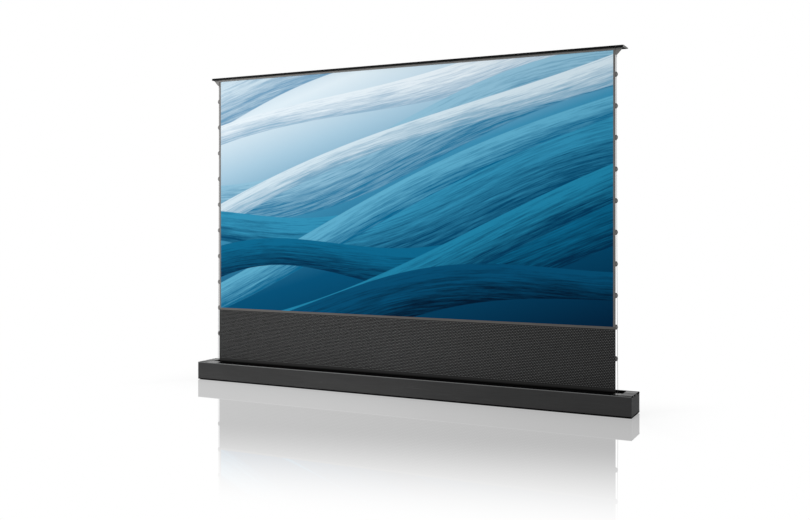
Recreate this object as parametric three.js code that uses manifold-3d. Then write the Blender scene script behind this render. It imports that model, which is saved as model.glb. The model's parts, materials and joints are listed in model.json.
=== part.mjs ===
// Floor-rising projection screen.
// A cloth screen winds on a motor roller inside a long floor housing. Two spring-loaded
// folding arms behind the cloth carry the top bar, which is also the lid of the housing.
// Units are millimetres. X runs along the width, Y from front to back, and Z up.
// The origin is on the floor under the middle of the housing. The screen is raised.

import * as THREE from "three";
import { mergeVertices } from "three/addons/utils/BufferGeometryUtils.js";
import Module from "manifold-3d";

const wasm = await Module();
wasm.setup();

// Gaps between pieces that touch, between turning faces, and the overrun of every cut
const seatGap = 0.3;
const turnGap = 0.4;
const overrun = 1;

// Cloth
const pictureWidth = 2656.6;
const pictureHeight = 1494.4;
const sideBorder = 13;
const lowerBand = 15.5;
const dropHeight = 314;
const hemHeight = 25.5;
const clothThickness = 0.6;
const clothSetback = 81;

// Floor housing
const footHeight = 4;
const footRadius = 15;
const footBevel = 1.2;
const footInset = 21.5;
const footEndInset = 120;
const housingHeight = 112;
const housingEnd = 108.7;
const wall = 2.5;
const flange = 3;
const housingCornerRadius = 2.4;
const frontFlangeWidth = 38;
const rearLipWidth = 12;
const rearLipDrop = 6;
const rearLipWall = 2;
const rearLedge = 12;
const rearLapWall = 2.5;
const portRadius = 3.4;
const portBore = 1.9;
const portSink = 0.6;
const portOpening = 1.2;

// Front cover, end tops and end caps
const slotFrontClearance = 9;
const slotRearClearance = 8.2;
const coverTongue = 3.5;
const coverTongueThickness = 2.5;
const coverLipDrop = 9;
const coverLipWall = 2.4;
const endTopGrooveInset = 64;
const grooveWidth = 5;
const grooveDepth = 1.5;
const endTopSkirt = 16;
const endTopSkirtWall = 2.5;
const endTopSkirtInset = 6;
const endCapThickness = 3.3;
const endCapBevel = 1;
const capRibReach = 9;
const capRibWall = 2;
const capRibInset = 18;
const notchWidth = 16;
const notchDepth = 6;
const notchInset = 12;

// Roller, its brackets and its motor
const rollerHeight = 54;
const rollerRadius = 30;
const rollerWall = 1.5;
const rollerOverhang = 20;
const rollTurns = 2;
const rollPitch = 1;
const bracketPlate = 3;
const bracketStandOff = 5.7;
const bracketHeadRadius = 30;
const bracketFootReach = 26;
const bracketBore = 16.3;
const bearingWidth = 7;
const bearingBore = 6.3;
const idlerShaftRadius = 6;
const idlerShaftTail = 3;
const plugLength = 34;
const plugFlangeRadius = 31;
const plugFlange = 2;
const motorRadius = 22.5;
const motorLength = 560;
const motorHeadRadius = 26;
const motorHeadPlate = 2.5;
const motorSpigot = 6;
const crownWidth = 14;
const crownHubRadius = 11;
const crownShaftRadius = 6;
const crownShaftLength = 16;
const crownNotchRadius = 5;
const crownNotches = 4;
const limitCrownWidth = 12;

// Control box and power inlet
const controlEndSpace = 150;
const controlRearSpace = 16.2;
const controlHeight = 40;
const controlRibPitch = 20;
const controlRibWidth = 3;
const controlRibDepth = 1.5;
const controlRadius = 4;
const controlArmSpace = 60;
const inletEndInset = 75;
const inletHeight = 56;
const inletFlangeWidth = 50;
const inletFlangeHeight = 30;
const inletFlange = 2;
const inletBodyWidth = 30;
const inletBodyHeight = 23;
const inletBodyDepth = 24;
const inletWall = 2.5;
const inletSocketDepth = 17;
const inletCutCorner = 5;

// Folding arms
const raisedAngle = THREE.MathUtils.degToRad(84);
const basePivotRise = 41;
const elbowSpread = 50.5;
const clothToArms = 7.5;
const linkWidth = 24;
const linkHeight = 40;
const linkWall = 2;
const linkCornerRadius = 5;
const eyeLength = 45;
const eyePlugLength = 30;
const eyePocketInner = 10;
const eyePocketOuter = 15.5;
const eyePocketDepth = 1.6;
const pinRadius = 5;
const pinHeadRadius = 9;
const pinHead = 3;
const pinBevel = 0.8;
const elbowCollarRadius = 13;
const baseEar = 4;
const topEar = 3;
const earHeadRadius = 14;
const baseFootHalf = 46;
const baseEarHalf = 30;
const baseFootPlate = 4;
const baseFootMargin = 4;
const topPlateHalf = 44;
const topEarHalf = 30;
const topPlate = 3;
const railWall = 2.5;
const railLip = 3;
const railLipThickness = 2;
const springRadius = 8.5;
const springLength = 380;
const springNeck = 3;
const springShoulder = 8;
const springRodRadius = 1.6;

// Top bar
const railShow = 9.6;
const lidHeight = 13;
const lidRearHeight = 5;
const lidOverhang = 47.7;
const lidSlotOverlap = 6;
const lidPlate = 3;
const lidFrontOverlap = 8;
const lidRearOverlap = 6;
const lidLipWall = 2.5;
const lidCornerRadius = 1;
const lidCap = 2;
const lidRib = 2;
const lidRibHeight = 4;
const lidFinHeight = 8;
const lidCloseGap = 0.3;
const clampDepth = 10.4;
const clampGrip = 10;
const gussetThickness = 6;
const gussetDrop = 35;
const gussetTopReach = 41.2;
const gussetBottomReach = 8;

// Edge tapes and tension cords
const tapeThickness = 0.8;
const tabCount = 10;
const lowTabRise = 184;
const topTabInset = 131;
const tabReach = 13.2;
const tabRootHalf = 14;
const tabTipHalf = 8;
const cordRadius = 1;
const cordNearGap = 5;
const cordFarGap = 12;
const cordNearDrop = 270;
const cordSteps = 26;

// Numbers of facets
const roundSides = 28;
const rollSides = 32;
const pinSides = 18;
const cornerSides = 4;
const cordSides = 8;

// Places across the width
const clothHalf = pictureWidth / 2 + sideBorder;
const housingHalf = clothHalf + housingEnd;
const lidHalf = clothHalf + lidOverhang;
const slotHalf = lidHalf - lidSlotOverlap;
const tubeHalf = clothHalf + rollerOverhang;
const bracketInner = tubeHalf + bracketStandOff;
const capInner = housingHalf - endCapThickness;

// Places up the height
const housingBottom = footHeight;
const floorTop = housingBottom + wall;
const housingTop = housingBottom + housingHeight;
const pictureBottom = housingTop + hemHeight + dropHeight + lowerBand;
const pictureTop = pictureBottom + pictureHeight;
const bandBottom = pictureBottom - lowerBand;
const lidBottom = pictureTop + railShow;
const lidTop = lidBottom + lidHeight;
const lidUnder = lidTop - lidPlate;
const rollerZ = housingBottom + rollerHeight;
const basePivotZ = housingBottom + basePivotRise;

// Depth behind the cloth: the arms, side by side with running gaps, up to the slot's rear edge
const elbowSpace = baseEar + topEar + 3 * turnGap;
const linkStack = 2 * linkWidth + elbowSpace + baseEar + topEar + 2 * turnGap;
const clothToSlotRear = clothThickness / 2 + clothToArms + linkStack + slotRearClearance;
const housingDepth = clothSetback + clothToSlotRear + rearLipWidth;

// Screw channels in the corners of the housing
const channelReach = portRadius - portSink;
const channelLow = floorTop + channelReach;
const channelHigh = housingTop - flange - channelReach;

// Places from front to back
const halfDepth = housingDepth / 2;
const innerFront = -halfDepth + wall;
const innerRear = halfDepth - wall;
const clothY = -halfDepth + clothSetback;
const clothFront = clothY - clothThickness / 2;
const clothBack = clothY + clothThickness / 2;
const slotFront = clothY - slotFrontClearance;
const slotRear = halfDepth - rearLipWidth;
const flangeRear = -halfDepth + frontFlangeWidth;
const coverFront = flangeRear + seatGap;
const rollInner = rollerRadius + seatGap;
const rollOuter = rollInner + rollTurns * rollPitch;
const rollerY = clothFront - rollOuter;

// Folding arms: the links are equally long, so the top bar rises straight
const travel = lidBottom - housingTop - lidCloseGap;
const linkLength = travel / 2 / Math.sin(raisedAngle);
const armPivotX = linkLength + elbowSpread;
const topPivotDrop = lidBottom - basePivotZ - travel;
const lowerLinkFront = clothBack + clothToArms + baseEar + turnGap;
const lowerLinkRear = lowerLinkFront + linkWidth;
const upperLinkFront = lowerLinkRear + elbowSpace;
const upperLinkRear = upperLinkFront + linkWidth;
const baseFootFront = lowerLinkFront - turnGap - baseEar - baseFootMargin;
const baseFootRear = lowerLinkRear + turnGap + baseEar + baseFootMargin;
const topPlateFront = upperLinkFront - turnGap - topEar;
const topPlateRear = upperLinkRear + turnGap + topEar;

// Solids for cuts and joins
function toSolid(geometry) {
  const bare = geometry.index ? geometry.toNonIndexed() : geometry.clone();
  bare.deleteAttribute("normal");
  bare.deleteAttribute("uv");
  const merged = mergeVertices(bare);
  const corners = merged.index.array;
  const kept = [];
  for (let i = 0; i < corners.length; i += 3) {
    const [a, b, c] = [corners[i], corners[i + 1], corners[i + 2]];
    if (a !== b && b !== c && a !== c) {
      kept.push(a, b, c);
    }
  }
  const vertProperties = merged.attributes.position.array;
  const triVerts = new Uint32Array(kept);
  return new wasm.Manifold(new wasm.Mesh({ numProp: 3, vertProperties, triVerts }));
}

function toGeometry(solid) {
  const mesh = solid.getMesh();
  const geometry = new THREE.BufferGeometry();
  geometry.setAttribute("position", new THREE.BufferAttribute(mesh.vertProperties, 3));
  geometry.setIndex(new THREE.BufferAttribute(mesh.triVerts, 1));
  geometry.computeVertexNormals();
  return geometry;
}

function joined(first, ...others) {
  return toGeometry(others.reduce((all, one) => all.add(toSolid(one)), toSolid(first)));
}

function cut(first, ...others) {
  return toGeometry(others.reduce((all, one) => all.subtract(toSolid(one)), toSolid(first)));
}

// Outlines
function outline(points) {
  return new THREE.Shape(points.map(([a, b]) => new THREE.Vector2(a, b)));
}

function rectangle(left, bottom, right, top) {
  return outline([
    [left, bottom],
    [right, bottom],
    [right, top],
    [left, top],
  ]);
}

function arc(centreA, centreB, radius, from, to, steps) {
  const points = [];
  for (let i = 0; i <= steps; i += 1) {
    const angle = from + ((to - from) * i) / steps;
    points.push([centreA + radius * Math.cos(angle), centreB + radius * Math.sin(angle)]);
  }
  return points;
}

function roundedRectangle(left, bottom, right, top, radius) {
  const quarter = Math.PI / 2;
  return outline([
    ...arc(right - radius, top - radius, radius, 0, quarter, cornerSides),
    ...arc(left + radius, top - radius, radius, quarter, 2 * quarter, cornerSides),
    ...arc(left + radius, bottom + radius, radius, 2 * quarter, 3 * quarter, cornerSides),
    ...arc(right - radius, bottom + radius, radius, 3 * quarter, 4 * quarter, cornerSides),
  ]);
}

function circle(centreA, centreB, radius, sides) {
  return outline(arc(centreA, centreB, radius, 0, 2 * Math.PI * (1 - 1 / sides), sides - 1));
}

function withHoles(shape, ...holes) {
  shape.holes.push(...holes);
  return shape;
}

// An outline in Y and Z, drawn out along X
function alongX(shape, from, to) {
  const geometry = new THREE.ExtrudeGeometry(shape, { depth: to - from, bevelEnabled: false });
  const turn = new THREE.Matrix4().makeBasis(
    new THREE.Vector3(0, 1, 0),
    new THREE.Vector3(0, 0, 1),
    new THREE.Vector3(1, 0, 0),
  );
  return geometry.applyMatrix4(turn).translate(from, 0, 0);
}

// An outline in X and Z, drawn out along Y
function alongY(shape, from, to) {
  const geometry = new THREE.ExtrudeGeometry(shape, { depth: to - from, bevelEnabled: false });
  return geometry.rotateX(Math.PI / 2).translate(0, to, 0);
}

// A profile of radius and place, turned round the X axis or the Y axis
function turnedX(profile, sides) {
  return turnedY(profile, sides).rotateZ(-Math.PI / 2);
}

function turnedY(profile, sides) {
  const points = profile.map(([radius, place]) => new THREE.Vector2(radius, place));
  return new THREE.LatheGeometry(points, sides);
}

function disc(radius, from, to) {
  return [
    [0, from],
    [radius, from],
    [radius, to],
    [0, to],
  ];
}

function ring(inner, outer, from, to) {
  return [
    [inner, from],
    [outer, from],
    [outer, to],
    [inner, to],
    [inner, from],
  ];
}

// Materials
function finish(color, roughness, metalness) {
  return () => new THREE.MeshStandardMaterial({ color, roughness, metalness });
}

const blackAluminium = finish(0x3a3b3b, 0.45, 0.8);
const blackPlastic = finish(0x2a2b2b, 0.6, 0);
const greyPlastic = finish(0x6c6c6a, 0.6, 0);
const zincSteel = finish(0x9a9d9f, 0.4, 1);
const bareAluminium = finish(0xa8abad, 0.4, 0.9);
const pinSteel = finish(0xb4b6b8, 0.3, 1);
const castMetal = finish(0x4a4c4d, 0.6, 0.7);
const softRubber = finish(0x181818, 0.9, 0);
const pictureCloth = finish(0x1f6f96, 0.8, 0);
const blackCloth = finish(0x1c1c1c, 0.95, 0);
const greyTape = finish(0x666562, 0.8, 0);
const cordFibre = finish(0x303030, 0.7, 0);

const screen = new THREE.Group();

function piece(name, geometry, material, parent = screen) {
  const mesh = new THREE.Mesh(geometry, material());
  mesh.name = name;
  parent.add(mesh);
  return mesh;
}

// Both sides of the screen, by the sign of their X
const sides = [
  ["left", -1],
  ["right", 1],
];

// Floor housing
function railOutline(y, inward) {
  const top = floorTop + seatGap + baseFootPlate + seatGap + railLipThickness;
  return [
    [y, floorTop],
    [y, top],
    [y + inward * (railWall + railLip), top],
    [y + inward * (railWall + railLip), top - railLipThickness],
    [y + inward * railWall, top - railLipThickness],
    [y + inward * railWall, floorTop],
  ];
}

// The floor and front are one extrusion. Its rear edge laps over a ledge of the rear panel.
function troughOutline() {
  const r = housingCornerRadius;
  const quarter = Math.PI / 2;
  const frontRail = baseFootFront - seatGap - railWall;
  const rearRail = baseFootRear + seatGap + railWall;
  const seam = innerRear - rearLedge - seatGap;
  const lapEnd = innerRear - channelReach - portRadius - seatGap;
  const lapBottom = floorTop + seatGap;
  return outline([
    ...arc(-halfDepth + r, housingBottom + r, r, 2 * quarter, 3 * quarter, cornerSides),
    [seam, housingBottom],
    [seam, lapBottom],
    [lapEnd, lapBottom],
    [lapEnd, lapBottom + rearLapWall],
    [seam - rearLapWall, lapBottom + rearLapWall],
    [seam - rearLapWall, floorTop],
    ...railOutline(rearRail, -1),
    ...railOutline(frontRail, 1).reverse(),
    [innerFront, floorTop],
    [innerFront, housingTop - flange],
    [flangeRear, housingTop - flange],
    [flangeRear, housingTop],
    ...arc(-halfDepth + r, housingTop - r, r, quarter, 2 * quarter, cornerSides),
  ]);
}

function rearPanelOutline() {
  const r = housingCornerRadius;
  const quarter = Math.PI / 2;
  return outline([
    ...arc(halfDepth - r, housingBottom + r, r, 3 * quarter, 4 * quarter, cornerSides),
    ...arc(halfDepth - r, housingTop - r, r, 0, quarter, cornerSides),
    [slotRear, housingTop],
    [slotRear, housingTop - rearLipDrop],
    [slotRear + rearLipWall, housingTop - rearLipDrop],
    [slotRear + rearLipWall, housingTop - flange],
    [innerRear, housingTop - flange],
    [innerRear, floorTop],
    [innerRear - rearLedge, floorTop],
    [innerRear - rearLedge, housingBottom],
  ]);
}

// A screw channel is a split tube in a corner of the extrusion, open towards the middle
function screwChannel(y, z, towards) {
  const from = towards + portOpening / 2;
  const to = towards + 2 * Math.PI - portOpening / 2;
  const outer = arc(y, z, portRadius, from, to, pinSides / 2);
  const inner = arc(y, z, portBore, from, to, pinSides / 2).reverse();
  return alongX(outline([...outer, ...inner]), -capInner + seatGap, capInner - seatGap);
}

function inletCentreX() {
  return housingHalf - inletEndInset;
}

function trough() {
  const eighth = Math.PI / 4;
  return joined(
    alongX(troughOutline(), -capInner + seatGap, capInner - seatGap),
    screwChannel(innerFront + channelReach, channelLow, eighth),
    screwChannel(innerFront + channelReach, channelHigh, 7 * eighth),
  );
}

function rearPanel() {
  const eighth = Math.PI / 4;
  const cornered = joined(
    alongX(rearPanelOutline(), -capInner + seatGap, capInner - seatGap),
    screwChannel(innerRear - channelReach, channelLow, 3 * eighth),
    screwChannel(innerRear - channelReach, channelHigh, 5 * eighth),
  );
  const x = inletCentreX();
  const z = housingBottom + inletHeight;
  const halfWidth = inletBodyWidth / 2;
  const halfHeight = inletBodyHeight / 2;
  const window = rectangle(x - halfWidth, z - halfHeight, x + halfWidth, z + halfHeight);
  return cut(cornered, alongY(window, innerRear - overrun, halfDepth + overrun));
}

function frontCover() {
  const tongueTop = housingTop - flange - seatGap;
  const tongueBottom = tongueTop - coverTongueThickness;
  const lipBottom = housingTop - coverLipDrop;
  const nose = coverLipWall / 2;
  return alongX(
    outline([
      [coverFront, housingTop],
      [coverFront, tongueTop],
      [coverFront - coverTongue, tongueTop],
      [coverFront - coverTongue, tongueBottom],
      [slotFront - coverLipWall, tongueBottom],
      ...arc(slotFront - nose, lipBottom + nose, nose, Math.PI, 2 * Math.PI, 2 * cornerSides),
      ...arc(slotFront - nose, housingTop - nose, nose, 0, Math.PI / 2, cornerSides),
    ]),
    -capInner + seatGap,
    capInner - seatGap,
  );
}

function endTop(side) {
  const front = slotFront + seatGap;
  const rear = slotRear - seatGap;
  const groove = rear - endTopGrooveInset;
  const under = housingTop - flange;
  const skirtBottom = housingTop - endTopSkirt;
  const frontSkirt = front + endTopSkirtInset;
  const rearSkirt = rear - endTopSkirtInset;
  const profile = outline([
    [front, under],
    [frontSkirt, under],
    [frontSkirt, skirtBottom],
    [frontSkirt + endTopSkirtWall, skirtBottom],
    [frontSkirt + endTopSkirtWall, under],
    [rearSkirt - endTopSkirtWall, under],
    [rearSkirt - endTopSkirtWall, skirtBottom],
    [rearSkirt, skirtBottom],
    [rearSkirt, under],
    [rear, under],
    [rear, housingTop],
    [groove + grooveWidth / 2, housingTop],
    [groove + grooveWidth / 2, housingTop - grooveDepth],
    [groove - grooveWidth / 2, housingTop - grooveDepth],
    [groove - grooveWidth / 2, housingTop],
    [front, housingTop],
  ]);
  const outer = capInner - seatGap;
  return side < 0 ? alongX(profile, -outer, -slotHalf) : alongX(profile, slotHalf, outer);
}

// The cap's top edge has four notches, where it is prised off the housing
function endCap(side) {
  const r = housingCornerRadius;
  const groove = slotRear - seatGap - endTopGrooveInset;
  const corner = halfDepth - notchInset;
  const frontStrip = (flangeRear + groove) / 2;
  const rearStrip = (groove + slotRear) / 2;
  const plate = roundedRectangle(-halfDepth, housingBottom, halfDepth, housingTop, r);
  const notches = [-corner, frontStrip, rearStrip, corner].map((y) =>
    alongX(
      rectangle(
        y - notchWidth / 2,
        housingTop - notchDepth,
        y + notchWidth / 2,
        housingTop + overrun,
      ),
      capInner - overrun,
      housingHalf + overrun,
    ),
  );
  const face = new THREE.ExtrudeGeometry(plate, {
    depth: endCapThickness - endCapBevel,
    bevelThickness: endCapBevel,
    bevelSize: endCapBevel,
    bevelOffset: -endCapBevel,
    bevelSegments: 1,
    curveSegments: 1,
  });
  face.applyMatrix4(
    new THREE.Matrix4().makeBasis(
      new THREE.Vector3(0, 1, 0),
      new THREE.Vector3(0, 0, 1),
      new THREE.Vector3(1, 0, 0),
    ),
  );
  face.translate(capInner, 0, 0);
  const backOff = rectangle(-housingDepth, 0, housingDepth, housingTop + overrun);
  const trimmed = cut(face, alongX(backOff, capInner - 2 * endCapBevel, capInner), ...notches);
  const low = floorTop + capRibInset;
  const high = housingTop - capRibInset;
  const front = innerFront + seatGap;
  const rear = innerRear - seatGap - capRibWall;
  const shelfTop = housingTop - endTopSkirt - seatGap;
  const shelfFront = slotFront + seatGap + endTopSkirtInset;
  const shelfRear = slotRear - seatGap - endTopSkirtInset;
  const ribStart = capInner - capRibReach;
  const ribEnd = capInner + endCapBevel;
  const ribs = [
    rectangle(front, low, front + capRibWall, high),
    rectangle(rear, low, rear + capRibWall, high),
    rectangle(shelfFront, shelfTop - capRibWall, shelfRear, shelfTop),
  ].map((shape) => alongX(shape, ribStart, ribEnd));
  const cap = joined(trimmed, ...ribs);
  return side < 0 ? mirroredX(cap) : cap;
}

function foot() {
  const top = footHeight - seatGap;
  return turnedY(
    [
      [0, 0],
      [footRadius - footBevel, 0],
      [footRadius, footBevel],
      [footRadius, top],
      [0, top],
    ],
    roundSides,
  ).rotateX(Math.PI / 2);
}

function addHousing() {
  piece("base_trough", trough(), blackAluminium);
  piece("rear_panel", rearPanel(), blackAluminium);
  piece("front_cover", frontCover(), blackAluminium);
  for (const [name, side] of sides) {
    piece(`${name}_end_top`, endTop(side), blackAluminium);
    piece(`${name}_end_cap`, endCap(side), blackPlastic);
    for (const [row, face] of [
      ["front", -1],
      ["rear", 1],
    ]) {
      const pad = piece(`foot_${row}_${name}`, foot(), softRubber);
      pad.position.set(side * (housingHalf - footEndInset), face * (halfDepth - footInset), 0);
    }
  }
}

// Roller
function rollOutline() {
  const steps = rollTurns * rollSides;
  const point = (step, offset) => {
    const angle = ((step - steps) * 2 * Math.PI) / rollSides;
    const radius = rollInner + (rollPitch * step) / rollSides + offset;
    return [rollerY + radius * Math.cos(angle), rollerZ + radius * Math.sin(angle)];
  };
  const inner = [];
  const outer = [];
  for (let step = 0; step <= steps; step += 1) {
    inner.push(point(step, 0));
    outer.push(point(step, clothThickness));
  }
  return outline([...outer, ...inner.reverse()]);
}

function rollerBracket(side) {
  const inner = bracketInner;
  const outer = inner + bracketPlate;
  const foot = floorTop + seatGap;
  const head = arc(rollerY, rollerZ, bracketHeadRadius, 0, Math.PI, roundSides / 2);
  const plate = outline([
    [rollerY - bracketHeadRadius, foot],
    [rollerY + bracketHeadRadius, foot],
    ...head,
  ]);
  const eye = circle(rollerY, rollerZ, bracketBore, roundSides);
  const flat = rectangle(
    rollerY - bracketHeadRadius,
    foot,
    rollerY + bracketHeadRadius,
    foot + bracketPlate,
  );
  const bracket = joined(
    alongX(withHoles(plate, eye), inner, outer),
    alongX(flat, outer - overrun, outer + bracketFootReach),
  );
  return side < 0 ? mirroredX(bracket) : bracket;
}

// The same shape on the other side: X changes sign, and each face is turned round
function mirroredX(geometry) {
  const corners = geometry.index.array;
  for (let i = 0; i < corners.length; i += 3) {
    [corners[i + 1], corners[i + 2]] = [corners[i + 2], corners[i + 1]];
  }
  return geometry.scale(-1, 1, 1);
}

function idlerPlug() {
  const inner = rollerRadius - rollerWall - seatGap;
  const end = -tubeHalf - seatGap;
  const tail = -bracketInner - bearingWidth - idlerShaftTail;
  return turnedX(
    [
      [0, tail],
      [idlerShaftRadius - pinBevel, tail],
      [idlerShaftRadius, tail + pinBevel],
      [idlerShaftRadius, end - plugFlange],
      [plugFlangeRadius, end - plugFlange],
      [plugFlangeRadius, end],
      [inner, end],
      [inner, end + plugLength],
      [0, end + plugLength],
    ],
    roundSides,
  );
}

function motorBody() {
  const start = tubeHalf - motorLength;
  const end = tubeHalf + bracketStandOff - seatGap - motorHeadPlate - seatGap;
  const socket = crownShaftRadius + seatGap;
  return turnedX(
    [
      [0, start + crownShaftLength],
      [socket, start + crownShaftLength],
      [socket, start],
      [motorRadius - endCapBevel, start],
      [motorRadius, start + endCapBevel],
      [motorRadius, end],
      [0, end],
    ],
    roundSides,
  );
}

function motorHead() {
  const face = bracketInner - seatGap;
  const spigotEnd = face + seatGap + bracketPlate + motorSpigot;
  return turnedX(
    [
      [0, face - motorHeadPlate],
      [motorHeadRadius, face - motorHeadPlate],
      [motorHeadRadius, face],
      [bracketBore - seatGap, face],
      [bracketBore - seatGap, spigotEnd - endCapBevel],
      [bracketBore - seatGap - endCapBevel, spigotEnd],
      [0, spigotEnd],
    ],
    roundSides,
  );
}

// The crown carries the tube: its notches take the ribs of the tube, its stub the motor's shaft
function driveCrown() {
  const start = tubeHalf - motorLength;
  const outer = rollerRadius - rollerWall - seatGap;
  const left = start - seatGap - crownWidth;
  const wheel = circle(0, 0, outer, roundSides);
  const turn = (2 * Math.PI) / crownNotches;
  const notches = Array.from({ length: crownNotches }, (_, i) =>
    alongX(
      circle(
        outer * Math.cos(i * turn),
        outer * Math.sin(i * turn),
        crownNotchRadius,
        pinSides / 2,
      ),
      left - overrun,
      left + crownWidth + overrun,
    ),
  );
  const stub = turnedX(
    disc(crownShaftRadius, left + crownWidth / 2, start + crownShaftLength - seatGap),
    pinSides,
  );
  const hub = turnedX(disc(crownHubRadius, left - crownWidth / 2, left + crownWidth / 2), pinSides);
  const toothed = cut(alongX(wheel, left, left + crownWidth), ...notches);
  return joined(toothed, stub, hub);
}

function limitCrown() {
  const inner = motorRadius + seatGap;
  const outer = rollerRadius - rollerWall - seatGap;
  const end = tubeHalf + seatGap;
  return turnedX(
    [
      [inner, end - limitCrownWidth],
      [outer, end - limitCrownWidth],
      [outer, end],
      [plugFlangeRadius, end],
      [plugFlangeRadius, end + plugFlange],
      [inner, end + plugFlange],
      [inner, end - limitCrownWidth],
    ],
    roundSides,
  );
}

function onRollerAxis(mesh) {
  mesh.position.set(0, rollerY, rollerZ);
  return mesh;
}

function addRoller() {
  const tube = turnedX(
    ring(rollerRadius - rollerWall, rollerRadius, -tubeHalf, tubeHalf),
    rollSides,
  );
  onRollerAxis(piece("roller_tube", tube, bareAluminium));
  piece("cloth_roll", alongX(rollOutline(), -clothHalf, clothHalf), blackCloth);
  for (const [name, side] of sides) {
    piece(`${name}_roller_bracket`, rollerBracket(side), zincSteel);
  }
  const bearing = ring(
    bearingBore,
    bracketBore - seatGap,
    -bracketInner - bearingWidth,
    -bracketInner,
  );
  onRollerAxis(piece("roller_bearing", turnedX(bearing, roundSides), pinSteel));
  onRollerAxis(piece("idler_plug", idlerPlug(), blackPlastic));
  onRollerAxis(piece("motor_body", motorBody(), zincSteel));
  onRollerAxis(piece("motor_head", motorHead(), blackPlastic));
  onRollerAxis(piece("drive_crown", driveCrown(), blackPlastic));
  onRollerAxis(piece("limit_crown", limitCrown(), blackPlastic));
}

// Control box, ribbed along its top, on the floor rails
function controlBox() {
  const bottom =
    floorTop + seatGap + baseFootPlate + seatGap + railLipThickness + seatGap;
  const front = baseFootFront;
  const rear = slotRear - controlRearSpace;
  const top = bottom + controlHeight;
  const left = armPivotX + controlArmSpace;
  const right = housingHalf - controlEndSpace;
  const box = alongX(roundedRectangle(front, bottom, rear, top, controlRadius), left, right);
  const count = Math.floor((right - left) / controlRibPitch) - 1;
  const slots = Array.from({ length: count }, (_, i) => {
    const x = left + controlRibPitch * (i + 1);
    const slot = rectangle(
      x - controlRibWidth / 2,
      top - controlRibDepth,
      x + controlRibWidth / 2,
      top + overrun,
    );
    return alongY(slot, front + 2 * controlRadius, rear - 2 * controlRadius);
  });
  return cut(box, ...slots);
}

function powerInlet() {
  const x = inletCentreX();
  const z = housingBottom + inletHeight;
  const face = innerRear - seatGap;
  const centred = (width, height) =>
    rectangle(x - width / 2, z - height / 2, x + width / 2, z + height / 2);
  const halfWidth = inletBodyWidth / 2 - inletWall;
  const halfHeight = inletBodyHeight / 2 - inletWall;
  const socket = outline([
    [x - halfWidth, z - halfHeight],
    [x + halfWidth, z - halfHeight],
    [x + halfWidth, z + halfHeight - inletCutCorner],
    [x + halfWidth - inletCutCorner, z + halfHeight],
    [x - halfWidth + inletCutCorner, z + halfHeight],
    [x - halfWidth, z + halfHeight - inletCutCorner],
  ]);
  const shell = joined(
    alongY(centred(inletFlangeWidth, inletFlangeHeight), face - inletFlange, face),
    alongY(centred(inletBodyWidth, inletBodyHeight), face - inletBodyDepth, face - inletFlange / 2),
  );
  return cut(shell, alongY(socket, face - inletSocketDepth, face + overrun));
}

// Cloth: the picture with its borders, and the black drop that runs down to the roller
function addCloth() {
  const gripTop = pictureTop + clampGrip - seatGap;
  const picture = rectangle(-clothHalf, bandBottom, clothHalf, gripTop);
  const drop = rectangle(-clothHalf, rollerZ + seatGap, clothHalf, bandBottom - seatGap);
  piece("viewing_surface", alongY(picture, clothFront, clothBack), pictureCloth);
  piece("black_drop", alongY(drop, clothFront, clothBack), blackCloth);
  for (const [name, side] of sides) {
    piece(`${name}_tension_tape`, tensionTape(side), greyTape);
    piece(`${name}_tension_cord`, tensionCord(side), cordFibre);
  }
}

function tensionTape(side) {
  const inner = clothHalf - sideBorder;
  const bottom = rollerZ + seatGap;
  const top = pictureTop - seatGap;
  const lowestTab = housingTop + lowTabRise;
  const tabPitch = (pictureTop - topTabInset - lowestTab) / (tabCount - 1);
  const outer = [];
  for (let i = 0; i < tabCount; i += 1) {
    const z = lowestTab + i * tabPitch;
    outer.push(
      [clothHalf, z - tabRootHalf],
      [clothHalf + tabReach, z - tabTipHalf],
      [clothHalf + tabReach, z + tabTipHalf],
      [clothHalf, z + tabRootHalf],
    );
  }
  const points = [[inner, bottom], [clothHalf, bottom], ...outer, [clothHalf, top], [inner, top]];
  const sided = points.map(([x, z]) => [side * x, z]);
  const shape = outline(side < 0 ? sided.reverse() : sided);
  const front = clothBack + seatGap;
  return alongY(shape, front, front + tapeThickness);
}

// How far the cord runs outside the cloth's edge: nearest to it in the upper third
function cordGap(z) {
  const nearest = pictureTop - cordNearDrop;
  const share = (nearest - z) / (nearest - housingTop);
  return cordNearGap + (cordFarGap - cordNearGap) * share * share;
}

function tensionCord(side) {
  const y = clothBack + seatGap + tapeThickness + seatGap + cordRadius;
  const bottom = rollerZ + seatGap;
  const top = lidBottom - gussetDrop - seatGap;
  const points = [];
  for (let i = 0; i <= cordSteps; i += 1) {
    const z = bottom + ((top - bottom) * i) / cordSteps;
    points.push(new THREE.Vector3(side * (clothHalf + cordGap(z)), y, z));
  }
  const path = new THREE.CatmullRomCurve3(points);
  return new THREE.ExtrudeGeometry(circle(0, 0, cordRadius, cordSides), {
    steps: cordSteps,
    extrudePath: path,
  });
}

// Links of the folding arms, drawn along X from their first pivot to their second
function eyeOutline(start, radius) {
  return [
    [start, -radius],
    [start, radius],
    ...arc(0, 0, radius, Math.PI / 2, (3 * Math.PI) / 2, pinSides / 2),
  ].reverse();
}

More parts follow.
